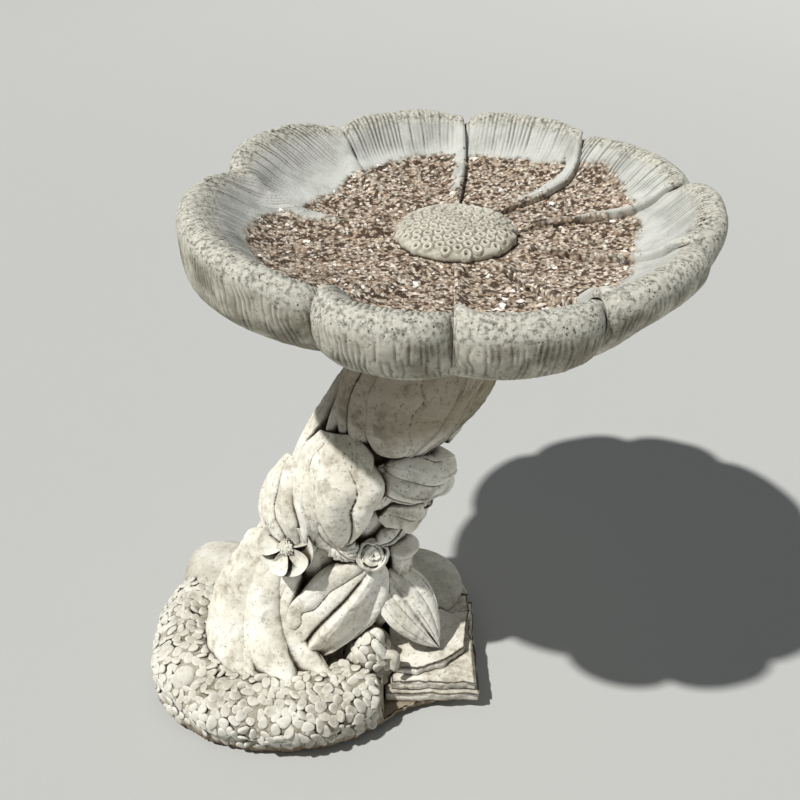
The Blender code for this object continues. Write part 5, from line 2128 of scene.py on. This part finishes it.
@dataclass
class Pedestal:
    """The whole pedestal: base, stem and everything carved on them."""

    axis: Vector

    def build(self) -> None:
        """Makes each part in turn, then lays the cobbles round them."""
        # Painted shade on the stem: in crevices, with dirt, and on its upper part under the bowl
        stem_stone = CastStone(
            "stem_stone", tint(252, 250, 241), tint(236, 232, 218),
            tint(158, 149, 128), tint(80, 69, 53),
            speckle=0.85, crevice_shade_and_dirt=1.6, reach=0.014, relief=0.0008, painted_neck_shade=0.75,
        ).build()
        cobble_stone = CastStone(
            "cobble_stone", tint(226, 224, 214), tint(196, 192, 179),
            tint(142, 135, 119), tint(52, 45, 35),
            speckle=0.6, reach=0.005, crevice_shade_and_dirt=1.5, soil=0.8, soil_top=0.022,
        ).build()
        slate_stone = CastStone(
            "slate_stone", tint(244, 241, 231), tint(222, 217, 204),
            tint(156, 147, 129), tint(104, 92, 75),
            speckle=0.85, crevice_shade_and_dirt=0.75, relief=0.0008, reach=0.006, soil=0.75, soil_top=0.022,
        ).build()
        base_stone = CastStone(
            "base_stone", tint(206, 200, 184), tint(176, 168, 148),
            tint(120, 110, 92), tint(84, 72, 56),
            speckle=0.5, reach=0.010, soil=0.9, soil_top=0.026,
        ).build()
        form, ground = StemForm(), Ground()
        slab = Slab(ground, base_stone).build()
        Slates(slate_stone).build()
        joint_stone = CastStone(
            "joint_stone", tint(176, 170, 155), tint(146, 139, 123),
            tint(102, 94, 78), tint(50, 43, 33),
            speckle=0.5, crevice_shade_and_dirt=1.4, reach=0.005, soil=0.8, soil_top=0.024,
        ).build()
        stones = Stones(ground, cobble_stone, joint_stone)
        mound = stones.dome("cobble_mound", 0.002, 1.7, joint=True)
        beds = [slab, stones.bank(), mound]
        boulders = [
            stones.dome("back_boulder", 0.003, 2.6), stones.dome("left_boulder", 0.003, 2.4),
            stones.dome("smooth_cobble", 0.0010, 3.0, lift=0.003),
        ]
        stem = Stem(form, self.axis, stem_stone).build()
        roots = Roots(form, ground, stem_stone).build()
        carver = Carver(form, stem_stone)
        leaves = [carver.build(leaf) for leaf in LEAVES]
        leaves.append(LowLeaf(form, ground, stem_stone).build())
        Flowers(form, stem_stone).build()
        stones.sprig()
        stones.lay(beds, [*roots, *leaves, *boulders, stem])


# Studio and build


@dataclass
class Studio:
    """Pale floor, soft light from the upper left, and the camera."""

    camera_place: tuple[float, float, float] = (0.081, -0.700, 0.775)
    pitch: float = 34.0
    lens: float = 45.0
    sun_way: tuple[float, float, float] = (-0.45, -0.22, 0.865)
    sun_strength: float = 3.6
    sun_softness: float = 1.6
    sun_colour: Colour = (1.0, 0.985, 0.945)
    sky: Colour = (0.86, 0.93, 1.0)
    sky_strength: float = 0.15

    def build(self) -> None:
        """Sets the camera, the light, the world and the floor."""
        scene = bpy.context.scene
        camera = bpy.data.objects.new("camera", bpy.data.cameras.new("camera"))
        camera.data.lens = self.lens
        camera.location = self.camera_place
        camera.rotation_euler = (math.radians(90 - self.pitch), 0, 0)
        scene.collection.objects.link(camera)
        scene.camera = camera
        sun = bpy.data.objects.new("sun", bpy.data.lights.new("sun", "SUN"))
        sun.data.energy = self.sun_strength
        sun.data.angle = math.radians(self.sun_softness)
        sun.data.color = self.sun_colour
        sun.rotation_euler = Vector(self.sun_way).to_track_quat("Z", "Y").to_euler()
        scene.collection.objects.link(sun)
        world = bpy.data.worlds.new("sky")
        world.use_nodes = True
        back = world.node_tree.nodes["Background"]
        back.inputs["Color"].default_value = (*self.sky, 1)
        back.inputs["Strength"].default_value = self.sky_strength
        scene.world = world
        scene.view_settings.view_transform = "Standard"
        self.floor()

    def floor(self) -> None:
        """A plain pale floor that curves up all round, far out."""
        line = curve_through([(0.01, 0.0), (2.6, 0.0), (3.3, 0.15), (3.6, 0.7), (3.7, 1.7)], 40)
        angle = all_round(96)[None]
        reach, height = line[::-1, :1], line[::-1, 1:] + 0 * angle
        points = np.stack([reach * np.cos(angle), reach * np.sin(angle), height], -1)
        floor = make_piece("floor", [Shell(points, ring=True)])
        book = Book("pale_floor")
        colour = book.mix(book.noise(0.4, 3) * 0.2, tint(190, 191, 190), tint(184, 185, 184))
        floor.data.materials.append(book.finish(colour, 0.9, book.noise(0.01, 2), 0.0001))


def dress_steel() -> None:
    """Gives the pin and the reinforcing rod, which stay as packed, their steel."""
    for node, finish in (
        ("locating_pin", DullSteel("pin_steel", rusted=0.3)),
        ("reinforcing_rod", DullSteel("rod_steel", rusted=0.9)),
    ):
        steel = frame["nodes"][node]
        steel.data.materials.clear()
        steel.data.materials.append(finish.build())
        LOG.info("%s keeps its packed shape", node)


def main() -> None:
    """Builds the pieces in order, from the bowl down."""
    logging.basicConfig(level=logging.INFO, format="%(name)s: %(message)s")
    turn = next(joint for joint in frame["joints"] if joint["name"] == "bowl_turn")
    axis = Vector(turn["pos_m"])
    Studio().build()
    FlowerBowl(axis).build()
    SeedHead(axis).build()
    Pedestal(axis).build()
    dress_steel()


if __name__ == "__main__":
    main()
